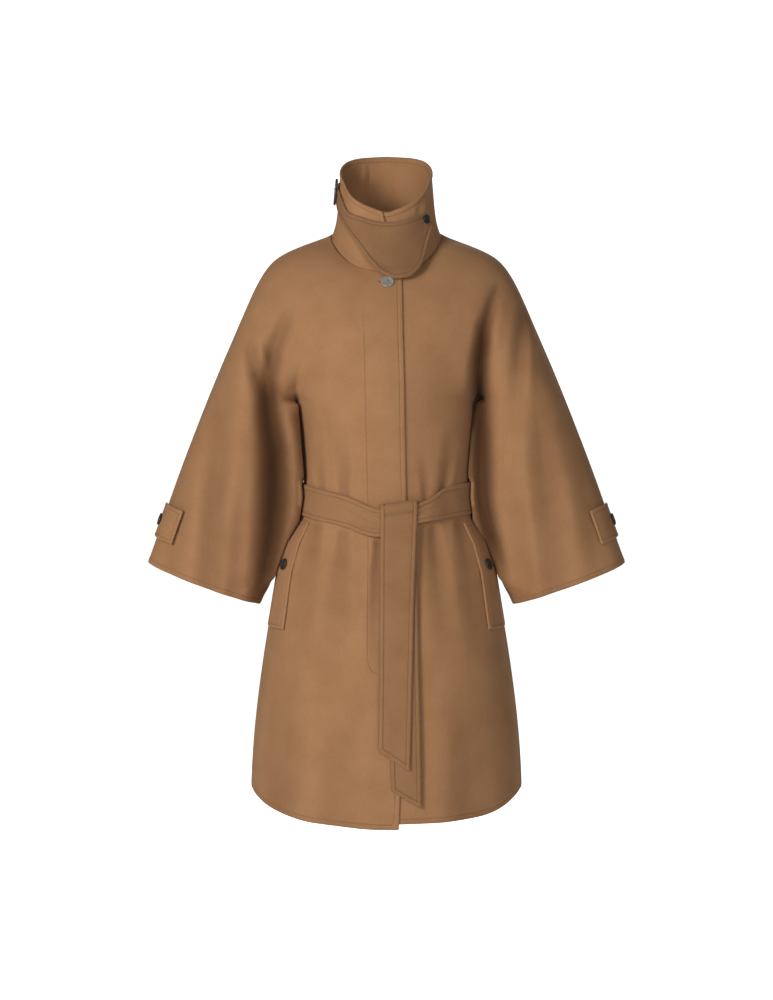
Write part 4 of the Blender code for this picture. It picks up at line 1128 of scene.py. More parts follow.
frontFolds = [
    # Wearer's right sleeve: two folds from the shoulder that meet over the underarm and run on to the cuff
    fold((-0.138, -0.098, 0.01, 0), (-0.154, -0.13, 0.011, 0.0055), (-0.17, -0.17, 0.013, 0.0095),
         (-0.181, -0.215, 0.015, 0.015), (-0.18, -0.265, 0.017, 0.023), (-0.171, -0.33, 0.021, 0.03),
         (-0.17, -0.405, 0.023, 0.034), (-0.174, -0.45, 0.021, 0.03), (-0.183, -0.5, 0.018, 0.022),
         (-0.193, -0.545, 0.015, 0.015), (-0.201, -0.58, 0.012, 0.009), bank=0.05, power=1.9),
    fold((-0.209, -0.146, 0.009, 0), (-0.205, -0.176, 0.01, 0.006), (-0.197, -0.21, 0.012, 0.0085),
         (-0.186, -0.245, 0.013, 0.004), (-0.18, -0.27, 0.013, 0), lean=0.5),
    fold((-0.236, -0.17, 0.015, 0), (-0.25, -0.27, 0.018, 0.005), (-0.262, -0.4, 0.019, 0.007),
         (-0.272, -0.53, 0.019, 0.005), lean=0.6),
    fold((-0.222, -0.35, 0.011, 0), (-0.23, -0.44, 0.013, 0.0034), (-0.238, -0.55, 0.014, 0.0026),
         lean=-0.5),
    fold((-0.298, -0.33, 0.014, 0), (-0.316, -0.43, 0.016, 0.0034), (-0.33, -0.53, 0.016, 0.0024),
         lean=0.4),
    # Wearer's left sleeve: one sharp fold from the shoulder down beside the body
    fold((0.174, -0.066, 0.008, 0), (0.162, -0.098, 0.009, 0.007), (0.149, -0.14, 0.011, 0.017),
         (0.143, -0.19, 0.012, 0.024), (0.143, -0.24, 0.013, 0.029), (0.145, -0.29, 0.014, 0.03),
         (0.147, -0.35, 0.014, 0.03), (0.149, -0.405, 0.014, 0.028), (0.158, -0.45, 0.013, 0.022),
         (0.171, -0.5, 0.012, 0.013), (0.184, -0.54, 0.009, 0), bank=0.05, power=1.8),
    fold((0.212, -0.086, 0.008, 0), (0.208, -0.12, 0.01, 0.005), (0.201, -0.18, 0.012, 0.006),
         (0.196, -0.25, 0.014, 0.003), (0.198, -0.32, 0.014, 0), lean=0.5),
    fold((0.222, -0.225, 0.014, 0), (0.236, -0.32, 0.017, 0.005), (0.25, -0.44, 0.018, 0.0052),
         (0.262, -0.55, 0.018, 0.0034), lean=-0.5),
    fold((0.196, -0.37, 0.01, 0), (0.204, -0.45, 0.012, 0.003), (0.218, -0.56, 0.013, 0.0022), lean=0.4),
    fold((0.288, -0.3, 0.013, 0), (0.307, -0.4, 0.015, 0.0036), (0.324, -0.51, 0.015, 0.0024), lean=-0.3),
    # Gathers into the belt from above
    fold((-0.07, -0.29, 0.011, 0), (-0.066, -0.35, 0.009, 0.003), (-0.063, -0.402, 0.006, 0.0055),
         lean=0.3),
    fold((-0.108, -0.3, 0.01, 0), (-0.103, -0.36, 0.008, 0.0032), (-0.098, -0.396, 0.006, 0.0048),
         lean=-0.4),
    fold((0.1, -0.28, 0.011, 0), (0.092, -0.345, 0.009, 0.0036), (0.086, -0.398, 0.006, 0.0055), lean=0.4),
    fold((0.056, -0.325, 0.008, 0), (0.059, -0.37, 0.007, 0.0024), (0.061, -0.402, 0.006, 0.004),
         lean=-0.2),
    # Skirt, running out below the belt
    fold((-0.064, -0.448, 0.008, 0.005), (-0.069, -0.5, 0.012, 0.0044), (-0.078, -0.59, 0.018, 0.0022),
         (-0.086, -0.68, 0.022, 0), lean=0.4),
    fold((-0.012, -0.462, 0.006, 0.0044), (-0.014, -0.52, 0.008, 0.0042), (-0.015, -0.59, 0.011, 0.0026),
         (-0.014, -0.66, 0.013, 0), lean=-0.4),
    fold((-0.108, -0.438, 0.009, 0.005), (-0.122, -0.52, 0.014, 0.0038), (-0.138, -0.65, 0.02, 0),
         lean=0.3),
    fold((0.072, -0.444, 0.008, 0.005), (0.08, -0.52, 0.013, 0.004), (0.094, -0.66, 0.02, 0), lean=-0.4),
    fold((0.112, -0.436, 0.008, 0.005), (0.128, -0.53, 0.015, 0.0036), (0.148, -0.69, 0.022, 0), lean=0.3),
    fold((-0.148, -0.62, 0.02, 0), (-0.156, -0.74, 0.024, 0.0036), (-0.162, -0.88, 0.026, 0.0044),
         lean=0.3),
    fold((-0.07, -0.7, 0.022, 0), (-0.074, -0.8, 0.026, 0.0022), (-0.078, -0.89, 0.03, 0.003), lean=-0.3),
    fold((0.116, -0.65, 0.02, 0), (0.122, -0.77, 0.024, 0.0036), (0.126, -0.885, 0.026, 0.0046),
         lean=-0.3),
]

backFolds = [
    fold((-0.172, -0.066, 0.01, 0), (-0.166, -0.12, 0.012, 0.0075), (-0.156, -0.19, 0.012, 0.0125),
         (-0.152, -0.262, 0.012, 0.013), (-0.158, -0.36, 0.013, 0.011), (-0.172, -0.48, 0.012, 0),
         lean=0.5),
    fold((0.18, -0.074, 0.01, 0), (0.176, -0.13, 0.012, 0.007), (0.164, -0.2, 0.013, 0.012),
         (0.156, -0.27, 0.012, 0.0125), (0.162, -0.38, 0.013, 0.009), (0.176, -0.47, 0.012, 0), lean=-0.5),
    fold((-0.214, -0.1, 0.011, 0), (-0.212, -0.18, 0.013, 0.006), (-0.202, -0.28, 0.014, 0.003),
         (-0.204, -0.36, 0.014, 0), lean=-0.3),
    fold((-0.246, -0.23, 0.015, 0), (-0.26, -0.37, 0.018, 0.0056), (-0.278, -0.54, 0.018, 0.0036),
         lean=0.4),
    fold((0.236, -0.21, 0.015, 0), (0.248, -0.34, 0.017, 0.006), (0.268, -0.54, 0.018, 0.004), lean=-0.4),
    fold((0.206, -0.36, 0.011, 0), (0.214, -0.45, 0.013, 0.0034), (0.228, -0.56, 0.014, 0.0024), lean=0.4),
    fold((-0.078, -0.25, 0.013, 0), (-0.07, -0.32, 0.011, 0.0044), (-0.065, -0.376, 0.007, 0.0064),
         lean=0.4),
    fold((0.02, -0.28, 0.011, 0), (0.017, -0.335, 0.009, 0.0034), (0.015, -0.376, 0.007, 0.0052),
         lean=-0.3),
    fold((-0.026, -0.3, 0.01, 0), (-0.028, -0.345, 0.008, 0.0026), (-0.03, -0.376, 0.006, 0.0046),
         lean=0.3),
    fold((0.09, -0.245, 0.013, 0), (0.084, -0.32, 0.01, 0.0046), (0.079, -0.376, 0.007, 0.0064), lean=0.3),
    fold((-0.09, -0.425, 0.008, 0.0064), (-0.102, -0.52, 0.015, 0.0048), (-0.12, -0.7, 0.022, 0),
         lean=0.3),
    fold((-0.03, -0.425, 0.008, 0.006), (-0.034, -0.5, 0.013, 0.005), (-0.04, -0.66, 0.02, 0), lean=-0.3),
    fold((0.038, -0.425, 0.008, 0.006), (0.044, -0.52, 0.015, 0.0046), (0.056, -0.72, 0.022, 0), lean=0.3),
    fold((0.096, -0.425, 0.009, 0.0062), (0.112, -0.53, 0.016, 0.0044), (0.13, -0.68, 0.022, 0),
         lean=-0.3),
    fold((-0.074, -0.64, 0.02, 0), (-0.08, -0.78, 0.024, 0.0046), (-0.084, -0.885, 0.028, 0.006),
         lean=0.3),
    fold((0.088, -0.64, 0.02, 0), (0.096, -0.77, 0.024, 0.005), (0.104, -0.885, 0.028, 0.0064), lean=-0.3),
    fold((0.01, -0.72, 0.022, 0), (0.012, -0.81, 0.026, 0.003), (0.014, -0.885, 0.03, 0.0042), lean=0.3),
]

cuffRun = np.array([cuffOuter[0] - cuffInner[0], cuffOuter[1] - cuffInner[1]])
cuffRun /= np.linalg.norm(cuffRun)


# Distance up the sleeve from the cuff line, in the front view
def cuffDistance(points):
    x, z = np.abs(points[:, 0]) - cuffInner[0], points[:, 2] - cuffInner[1]
    return -cuffRun[1] * x + cuffRun[0] * z


def unevenness(points, phase):
    x, y, z = points.T
    broad = 0.0016 * np.sin(21 * x + 6 * z + phase) * np.sin(11 * z - 8 * x + 2 * phase)
    return broad + 0.0005 * np.sin(47 * x - 31 * z + 3 * phase + 20 * y)


# The sleeve's inner side hangs round the body's side seam and leans against it in front and behind
sleeveHang = {"clear": 0.0016, "trim": 0.0046, "reach": 0.030, "release": 0.058}


# The sleeve's inner line at the heights given
def sleeveInnerX(z):
    return np.interp(-z, [-ring.innerZ for ring in sleeveRings], [ring.innerX for ring in sleeveRings])


def hungSleeve(points):
    x, y, z = np.abs(points[:, 0]), np.abs(points[:, 1]), points[:, 2]
    inner = sleeveInnerX(z)
    levels = [-level.z for level in bodyLevels]
    bodyX = np.interp(-z, levels, [level.halfWidth for level in bodyLevels])
    bodyY = np.interp(-z, levels, [level.frontDepth for level in bodyLevels])
    trim = sleeveHang["trim"] * ramp(-z, 0.366, 0.376)
    seat = bodyX * np.sqrt(np.maximum(1 - (y / bodyY) ** 2, 0)) + trim + sleeveHang["clear"] + panel["wall"]
    onSleeve = (x > (inner + bodyX) / 2) & (x < inner + 0.04) & (z < crotchZ)
    down = ramp(-z, 0.250, 0.257) * (1 - ramp(-z, 0.518, 0.556))
    near = 1 - ramp(y, sleeveHang["reach"], sleeveHang["release"])
    moved = points.copy()
    moved[:, 0] -= np.sign(points[:, 0]) * np.maximum(x - seat, 0) * near * down * onSleeve
    return moved


# The belt's band on the body, where the cloth lies flat
def underBelt(points):
    held = np.clip(points[:, 0], beltFront[0].x, beltFront[-1].x)
    middle = np.array([readStraight(beltFront, "x", "middleZ", x) for x in held])
    middle = np.where(points[:, 1] > 0, beltBackZ, middle)
    away = np.abs(points[:, 2] - middle)
    return (1 - ramp(away, 0.022, 0.034)) * (np.abs(points[:, 0]) < 0.1345)


def seamFlat(normals, onSeam):
    normals[onSeam, 1] = 0
    return normals / np.linalg.norm(normals, axis=1)[:, None]


def panelPiece(name, side, grid, folds, levels, node, phase):
    rough, faces = grid
    points, quads = refined(rough, faces, levels)
    quads = facingOut(points, quads, np.tile([0.0, side, 0.0], (len(points), 1)))
    onSeam = np.abs(points[:, 1]) < 1e-5
    points = hungSleeve(points)
    normals = seamFlat(vertexNormals(points, quads), onSeam)
    fromSeam = np.abs(points[:, 1])
    free = 1 - np.exp(-((fromSeam / panel["seamHold"]) ** 2))
    uneven = panel["letOut"] + free * unevenness(points, phase)
    relief, shade = foldRelief(points, folds)
    # Beside the body the sleeve's edge keeps its roll
    roll = bell(np.abs(points[:, 0]), sleeveInnerX(points[:, 2]), panel["rollWidth"])
    roll = roll * (points[:, 2] < crotchZ)
    depth = np.maximum(free * relief, -(panel["foldReach"] - panel["rollReach"] * roll) * fromSeam)
    # Painted shade on the sleeve's roll beside the body, from below the underarm to above the cuff
    low = ramp(-points[:, 2], 0.25, 0.28) * (1 - ramp(-points[:, 2], 0.50, 0.57))
    shade = np.maximum(shade, panel["rollShade"] * roll * low)
    flat = underBelt(points)
    uneven = uneven * (1 - flat) + np.minimum(uneven, 0.0002) * flat
    depth = depth * (1 - flat) + np.minimum(depth, 0) * flat
    uneven += panel["seamBank"] * bell(fromSeam, 0.006, 0.0035)
    uneven -= panel["seamDip"] * bell(fromSeam, 0.0, 0.0022)
    atCuff = (np.abs(points[:, 0]) > 0.142) & (cuffDistance(points) < 0.004)
    atHem = points[:, 2] < -0.80
    atFront = (side < 0) & (fromSeam > 0.02) & (np.abs(points[:, 0]) < 0.04)
    atFront &= points[:, 2] < panel["neckEndZ"]
    finished = onBorder(quads) & (atCuff | atHem | atFront)
    edge, along = edgeFields(points, quads, finished)
    uneven += edgeRelief(edge, wool["stitchAt"], panel["edgeHeight"]) * (fromSeam > 0.001)
    outer = points + normals * uneven[:, None]
    outer[:, 1] += side * depth
    inner = outer - seamFlat(vertexNormals(outer, quads), onSeam) * panel["wall"]
    fields = {"edge": edge, "along": along, "seam": fromSeam + 0.0004, "shade": shade * (1 - flat)}
    if side < 0 and "right" in name:
        fields["stitch"], fields["stitchAlong"] = placketField(points)
    shellPiece(name, node, outer, inner, quads, finished, fields)


# The placket's sewn line, down the upper front and round to its edge. Distances have a side, so that
# they cross zero between points
placketLine = (
    (-0.0335, -0.146), (-0.0330, -0.152), (-0.0300, -0.290), (-0.0280, -0.405), (-0.0275, -0.500),
    (-0.0285, -0.640), (-0.0235, -0.654), (-0.0130, -0.660), (0.0100, -0.662),
)


def placketField(points):
    x, z = points[:, 0], points[:, 2]
    best, along, length = np.full(len(points), farAway), np.zeros(len(points)), 0.0
    hand = np.ones(len(points))
    for a, b in zip(placketLine, placketLine[1:]):
        dx, dz = b[0] - a[0], b[1] - a[1]
        size = math.hypot(dx, dz)
        t = np.clip(((x - a[0]) * dx + (z - a[1]) * dz) / size**2, 0, 1)
        away = np.hypot(x - a[0] - t * dx, z - a[1] - t * dz)
        along = np.where(away < best, length + t * size, along)
        hand = np.where(away < best, np.sign(dx * (z - a[1]) - dz * (x - a[0])), hand)
        best = np.minimum(best, away)
        length += size
    return best * hand, along


# The half back and its mirror image, joined down the middle
def wholeBack():
    points, faces = backPanel()
    centre = np.abs(points[:, 0]) < 1e-6
    match = np.arange(len(points))
    match[~centre] = len(points) + np.arange((~centre).sum())
    mirrored = points[~centre] * (-1, 1, 1)
    other = [tuple(match[list(face)][::-1]) for face in faces]
    return np.concatenate([points, mirrored]), list(faces) + other


panelPiece("wool_front_right", -1, frontPanel(True), frontFolds, 3, "front_right", 0.4)
panelPiece("wool_front_left", -1, frontPanel(False), frontFolds, 3, "front_left", 0.4)
panelPiece("wool_back", 1, wholeBack(), backFolds, 2, "back", 3.1)
print("fronts and back done")

# Collar

collar = {"wall": 0.0032, "stitchAt": 0.0066, "roll": 0.0022, "levels": 3}
collarFolds = [
    fold((-0.066, 0.032, 0.004, 0), (-0.05, 0.006, 0.006, 0.0022), (-0.028, -0.026, 0.006, 0.002),
         (-0.008, -0.048, 0.005, 0), lean=0.4),
    fold((-0.072, 0, 0.004, 0), (-0.058, -0.02, 0.005, 0.0014), (-0.036, -0.04, 0.005, 0), lean=-0.3),
    fold((0.07, 0.02, 0.005, 0), (0.062, -0.008, 0.006, 0.0016), (0.048, -0.034, 0.006, 0), lean=0.3),
    fold((0.052, 0.062, 0.005, 0), (0.05, 0.04, 0.005, 0.0012), (0.046, 0.02, 0.004, 0), lean=0.3),
]

collarBackFolds = [
    fold((-0.033, 0.116, 0.004, 0), (-0.035, 0.092, 0.005, 0.002), (-0.04, 0.062, 0.005, 0), lean=0.3),
    fold((0.02, 0.1, 0.006, 0), (0.026, 0.07, 0.007, 0.0012), (0.036, 0.04, 0.006, 0), lean=-0.3),
]


def collarGrid():
    base = neckline()
    side = bodyColumns + sleeveColumns
    rows = []
    for row in collarRows:
        line = []
        for i, point in enumerate(base):
            depth = neckBack if point[1] > 0 else neckFront
            angle = math.atan2(point[0] / neckHalfWidth, -point[1] / depth)
            if i < side:
                shift = collarUpperEndShift / neckHalfWidth
                angle += shift * (1 - smooth(-angle, 0, rightAngle)) * row.height
            at = collarPoint(angle, row.height)
            if i < side:
                outward = at * (1, 1, 0)
                at = at + outward / np.linalg.norm(outward) * lap(-point[0]) * collarLapLift
            if row.height == 0:
                at[2] = point[2] + seamGap
            line.append(at)
        rows.append(line)
    points = []
    faces = gridFaces(numbered(rows, points))
    grid = np.array(rows)
    along = np.linalg.norm(np.diff(grid, axis=1), axis=2)
    fromStart = np.pad(np.cumsum(along, axis=1), ((0, 0), (1, 0)))
    down = np.linalg.norm(np.diff(grid, axis=0), axis=2)[::-1]
    fromRim = np.pad(np.cumsum(down, axis=0), ((1, 0), (0, 0)))[::-1]
    places = np.stack([fromStart, fromStart[:, -1:] - fromStart, fromRim], axis=-1)
    return np.array(points), faces, places.reshape(-1, 3)


# The layers at the lap lie close, so edge distances are measured within the cloth
def makeCollar():
    rough, faces, places = collarGrid()
    points, quads = refined(rough, faces, collar["levels"])
    places, _ = refined(places, faces, collar["levels"])
    quads = facingOut(points, quads, points * (1, 1, 0))
    normals = vertexNormals(points, quads)
    around = np.degrees(np.abs(np.arctan2(points[:, 0] / neckHalfWidth, -points[:, 1] / neckFront)))
    base = np.array([readTable(collarEdges, "angle", "base", a) for a in around])
    rim = np.array([readTable(collarEdges, "angle", "rim", a) for a in around])
    height = (points[:, 2] - base) / (rim - base)
    finished = onBorder(quads) & (height > 0.06)
    edge = places.min(axis=1)
    along = np.where(places[:, 2] <= edge, places[:, 0], places[:, 2])
    lift = edgeRelief(edge, collar["stitchAt"], 0.0006)
    lift += collar["roll"] * np.exp(-np.maximum(rim - points[:, 2], 0) / 0.006)
    before, behind = foldRelief(points, collarFolds)[0], foldRelief(points, collarBackFolds)[0]
    lift += np.where(points[:, 1] < 0, before, behind)
    lift += unevenness(points, 5.0) * 0.5
    lift += 0.0006 * ramp(height, 0.0, 0.1)
    outer = points + normals * lift[:, None]
    inner = outer - normals * collar["wall"]
    fields = {"edge": edge, "along": along, "seam": np.abs(points[:, 2] - base) + 0.0006}
    shellPiece("wool_collar", "collar", outer, inner, quads, finished, fields)


makeCollar()
print("collar done")


# Pieces made on grids of places: flap, strap end, belt, tails, tabs and welts


def gridPiece(name, node, rows, wall, relief, stitchAt, ring=False, both=False):
    places = np.array([[place for place, _ in row] for row in rows])
    outward = np.array([[normal for _, normal in row] for row in rows]).reshape(-1, 3)
    shape = places.shape[:2]
    points = places.reshape(-1, 3)
    quads = facingOut(points, gridQuads(*shape, ring=ring), outward)
    finished = onBorder(quads)
    edge, along = edgeFields(points, quads, finished)
    lift = edgeRelief(edge, stitchAt, relief)
    normals = vertexNormals(points, quads)
    outer = points + normals * (wall + lift)[:, None]
    inner = points - normals * (lift * 0.8 if both else lift * 0)[:, None]
    fields = {"edge": edge + wool["stitchAt"] - stitchAt, "along": along}
    shellPiece(name, node, outer, inner, quads, finished, fields)


def flapPlaces():
    first, last = flapColumns[0].angle, flapColumns[-1].angle
    down, turns = 44, 120
    rows = []
    for row in range(down + 1):
        share = row / down
        line = []
        for i in range(turns + 1):
            angle = first + (last - first) * i / turns
            top = readTable(flapColumns, "angle", "top", angle)
            bottom = readTable(flapColumns, "angle", "bottom", angle)
            z = top + (bottom - top) * share
            at, normal = collarAtZ(math.radians(angle), z)
            # Its free edge turns outwards
            curl = 0.0026 * smooth(angle, 24, 58) * smooth(share, 0.15, 0.9)
            curl += 0.0016 * smooth(share, 0.8, 1.0) * smooth(angle, -50, 0)
            sag = -0.0022 * math.exp(-(((angle - 22) / 14) ** 2)) * math.sin(math.pi * share)
            line.append((at + normal * (flapStand(angle, z) + curl + sag), normal))
        rows.append(line)
    return rows


gridPiece("wool_collar_flap", "collar_flap", flapPlaces(), wall=0.0026, relief=0.0005, stitchAt=0.0052)


def chapeRows():
    rows = []
    for row in range(13):
        z = chapeZ[0] + (chapeZ[1] - chapeZ[0]) * row / 12
        line = []
        for i in range(21):
            angle = math.radians(chapeAngles[0] + (chapeAngles[1] - chapeAngles[0]) * i / 20)
            at, normal = collarAtZ(angle, z)
            line.append((at + normal * (restGap + 0.0006), normal))
        rows.append(line)
    return rows


gridPiece("wool_collar_strap", "collar_chape", chapeRows(), wall=0.0024, relief=0.0004, stitchAt=0.0040)
print("flap and strap done")

# Belt

belt = {"columns": 260, "rows": 22, "wall": 0.0032, "deepest": -0.0012}
beltFolds = [
    fold((-0.072, -0.404, 0.004, 0), (-0.04, -0.42, 0.0045, 0.0016), (-0.012, -0.434, 0.004, 0.0026),
         lean=0.4),
    fold((-0.05, -0.432, 0.004, 0), (-0.028, -0.438, 0.004, 0.0014), (-0.008, -0.442, 0.0035, 0.002),
         lean=-0.4),
    fold((-0.036, -0.41, 0.003, 0), (-0.02, -0.42, 0.0035, 0.0012), (-0.006, -0.426, 0.003, 0.0018),
         lean=0.3),
    fold((0.08, -0.41, 0.004, 0), (0.062, -0.416, 0.004, 0.0014), (0.046, -0.42, 0.0035, 0.0024),
         lean=0.4),
    fold((0.072, -0.398, 0.003, 0), (0.058, -0.408, 0.0035, 0.0012), (0.044, -0.412, 0.003, 0.0018),
         lean=-0.3),
]


def beltRows():
    rows = []
    for row in range(belt["rows"] + 1):
        share = 1 - 2 * row / belt["rows"]
        line = []
        for i in range(belt["columns"]):
            at, normal, stand = beltRingPoint(2 * math.pi * i / belt["columns"], share)
            line.append((at + normal * (stand + 0.0003), normal))
        rows.append(line)
    return rows


def makeBelt():
    rows = beltRows()
    flat = np.array([place for row in rows for place, _ in row])
    relief = foldRelief(flat, beltFolds)[0] * (flat[:, 1] < 0)
    relief = np.maximum(relief, belt["deepest"]).reshape(-1, belt["columns"])
    rows = [
        [(place + normal * height, normal) for height, (place, normal) in zip(heights, row)]
        for heights, row in zip(relief, rows)
    ]
    gridPiece("wool_belt", "belt_waist", rows, belt["wall"], relief=0.0006, stitchAt=0.0056, ring=True)


makeBelt()


tail = {"columns": 30, "wall": 0.0028, "relief": 0.0005, "stitchAt": 0.0054}


# A tail's surface on a path of (z, stand), with the places of its middle thickness
def tailRows(path, leftX, rightX, endZ, topSlant, step, wave):
    path = np.array(path)
    length = np.concatenate([[0], np.cumsum(np.hypot(*np.diff(path, axis=0).T))])
    count = int(length[-1] / step)
    at = np.linspace(0, length[-1], count + 1)
    dense = np.stack([np.interp(at, length, path[:, 0]), np.interp(at, length, path[:, 1])], axis=1)
    for _ in range(6):
        dense[1:-1] = (dense[:-2] + 2 * dense[1:-1] + dense[2:]) / 4
    ahead = np.gradient(dense, axis=0)
    across = np.stack([ahead[:, 1], -ahead[:, 0]], axis=1)
    across /= np.linalg.norm(across, axis=1)[:, None]
    topZ, lowZ = dense[0][0], dense[-1][0]
    rows = []
    for (z, stand), (turnZ, turnStand) in zip(dense, across):
        down = (topZ - z) / (topZ - lowZ)
        line = []
        for i in range(tail["columns"] + 1):
            share = i / tail["columns"]
            xLeft = leftX[0] + (leftX[1] - leftX[0]) * down
            xRight = rightX[0] + (rightX[1] - rightX[0]) * down
            x = xLeft + (xRight - xLeft) * share
            slanted = z + (endZ[0] + (endZ[1] - endZ[0]) * share - lowZ) * smooth(z, lowZ + tailEndSpan, lowZ)
            slanted += topSlant * (share - 0.5) * smooth(z, topZ - tailTopSpan[0], topZ - tailTopSpan[1])
            place, normal = bodyAtX(x, slanted)
            bend = wave * math.sin(17 * z + 1.1) * smooth(down, 0.2, 0.5)
            bend += wave * 0.6 * (share - 0.5) * math.sin(29 * z) * smooth(down, 0.2, 0.5)
            middle = place + normal * (stand + bend)
            middle[2] = slanted
            turned = normal * turnStand
            turned[2] = turnZ
            line.append((middle - turned * tail["wall"] / 2, turned))
        rows.append(line)
    return rows


def frontTailPath():
    inner, outer = beltStands()
    behind, before = inner - 2 * restGap - beltWall / 2, outer + 2 * restGap + beltWall / 2
    middle, reach = (behind + before) / 2, (before - behind) / 2
    path = [(frontTailTopZ - hookLength, behind)]
    for i in range(25):
        turn = math.pi * i / 24
        path.append((frontTailTopZ + hookRise * math.sin(turn), middle - reach * math.cos(turn)))
    path += [(z, before) for z in frontTailBeltZ]
    low = sum(frontTailEnd) / 2
    return path + [(z, readTable(frontTail, "z", "stand", z)) for z in np.linspace(frontTail[0].z, low, 24)]


gridPiece(
    "wool_belt_tail_front", "belt_tail_front",
    tailRows(frontTailPath(), frontTailLeftX, frontTailRightX, frontTailEnd, frontTailSlant, 0.0016, 0.0009),
    tail["wall"], tail["relief"], tail["stitchAt"], both=True,
)


def rearTailPath():
    low = sum(rearTailEnd) / 2
    return [(z, rearTailStand) for z in np.linspace(rearTailTopZ, low, 30)]


gridPiece(
    "wool_belt_tail_rear", "belt_tail_rear",
    tailRows(rearTailPath(), rearTailLeftX, rearTailRightX, rearTailEnd, 0.0, 0.0018, 0.0006),
    tail["wall"], tail["relief"], tail["stitchAt"], both=True,
)
print("belt and tails done")


# Cuff tabs and pocket welts


def tabRows(hand):
    down, turns = 30, 44
    rows = []
    for row in range(down + 1):
        share = row / down
        toPoint = 1 - abs(2 * share - 1)
        last = tabCornerAngle + (tabPointAngle - tabCornerAngle) * toPoint
        line = []
        for i in range(turns + 1):
            angle = tabAngles[0] + (last - tabAngles[0]) * i / turns
            inward = tabCornerCut * (1 - 2 * share) * smooth(angle, tabAngles[-2], last)
            along = tabAlong[0] + (tabAlong[1] - tabAlong[0]) * share + inward
            stand = float(np.interp(angle, (*tabAngles, tabPointAngle), (*tabStand, tabPointStand)))
            at, normal = sleeveSurface(along, angle, hand)
            line.append((at + normal * (stand + 0.0006), normal))
        rows.append(line)
    return rows


def weltRows(upper):
    down, turns = 60, 22
    rows = []
    for row in range(down + 1):
        z = weltZ[0] + (weltZ[1] - weltZ[0]) * row / down
        line = []
        for i in range(turns + 1):
            column = weltColumns[0] + (weltColumns[1] - weltColumns[0]) * i / turns
            at, normal = frontGridPoint(z, column, upper)
            line.append((at + normal * (restGap + 0.0004), normal))
        rows.append(line)
    return rows


for hand, label in ((-1, "right"), (1, "left")):
    small = [(f"cuff_tab_{label}", tabRows(hand), 0.0048)]
    small.append((f"pocket_welt_{label}", weltRows(hand < 0), 0.0052))
    for node, rows, stitchAt in small:
        gridPiece("wool_" + node, node, rows, wall=0.0024, relief=0.0005, stitchAt=stitchAt)
print("tabs and welts done")

# Buttons

button = {"sides": 56, "holeOut": 0.27, "hole": 0.105, "cord": 0.00042, "top": 0.14, "rise": 0.0005}
buttonhole = {"half": 0.0062, "side": 0.00132, "out": 0.0075, "stand": 0.0014}

# Radius and height shares of a dished button with a raised rim, from its back to its middle
buttonOutline = (
    (0.40, -0.50), (0.74, -0.50), (0.86, -0.38), (0.985, -0.05), (1.0, 0.14), (0.985, 0.34), (0.93, 0.47),
    (0.86, 0.50), (0.78, 0.44), (0.71, 0.27), (0.60, 0.17), (0.30, 0.13),
)


def circle(sides):
    return [(math.cos(2 * math.pi * k / sides), math.sin(2 * math.pi * k / sides)) for k in range(sides)]


def turnedMesh(name, outline, radius, thickness, sides):
    rows = [[(radius * r * x, radius * r * y, thickness * h) for x, y in circle(sides)] for r, h in outline]
    points = [point for row in rows for point in row]
    points += [(0, 0, thickness * outline[0][1]), (0, 0, thickness * outline[-1][1])]
    faces = [tuple(map(int, quad[::-1])) for quad in gridQuads(len(outline), sides, ring=True)]
    last = (len(outline) - 1) * sides
    for i in range(sides):
        after = (i + 1) % sides
        faces += [(after, i, sides * len(outline)), (last + i, last + after, sides * len(outline) + 1)]
    mesh = bpy.data.meshes.new(name)
    mesh.from_pydata(points, [], faces)
    return mesh


def cutThrough(mesh, cutters):
    holder = bpy.data.objects.new("cut", mesh)
    bpy.context.scene.collection.objects.link(holder)
    made = []
    for cutter in cutters:
        tool = bpy.data.objects.new("tool", cutter)
        bpy.context.scene.collection.objects.link(tool)
        change = holder.modifiers.new("Cut", "BOOLEAN")
        change.object, change.solver = tool, "EXACT"
        made.append(tool)
    result = bpy.data.meshes.new_from_object(holder.evaluated_get(bpy.context.evaluated_depsgraph_get()))
    for used in [holder, *made]:
        bpy.data.objects.remove(used)
    return result


def seatFrame(centre, normal, turn=0.0):
    toward = Vector(normal).normalized().to_track_quat("Z", "Y").to_matrix().to_4x4()
    return Matrix.Translation(Vector(centre)) @ toward @ Matrix.Rotation(turn, 4, "Z")


def roundBar(points, thick, sides=8):
    path = [Vector(p) for p in points]
    rows = []
    for i, at in enumerate(path):
        ahead = (path[min(i + 1, len(path) - 1)] - path[max(i - 1, 0)]).normalized()
        sideways = ahead.orthogonal().normalized()
        other = ahead.cross(sideways)
        end = 0.35 if i in (0, len(path) - 1) else 1.0
        rows.append([tuple(at + (sideways * x + other * y) * thick * end) for x, y in circle(sides)])
    return rows


def barMesh(name, bars):
    points, faces = [], []
    for rows in bars:
        start = len(points)
        sides = len(rows[0])
        points += [point for row in rows for point in row]
        faces += [tuple(start + int(i) for i in quad) for quad in gridQuads(len(rows), sides, ring=True)]
        faces.append(tuple(start + i for i in range(sides)))
        faces.append(tuple(start + (len(rows) - 1) * sides + i for i in reversed(range(sides))))
    mesh = bpy.data.meshes.new(name)
    mesh.from_pydata(points, [], faces)
    mesh.shade_smooth()
    return mesh


# A stitch from one hole to another, low in both
def stitchPath(a, b, top):
    steps = ((0, -top), (0, top * 0.9), (0.15, top + button["rise"]))
    steps += tuple((1 - share, z) for share, z in steps[::-1])
    return [(a[0] * (1 - share) + b[0] * share, a[1] * (1 - share) + b[1] * share, z) for share, z in steps]


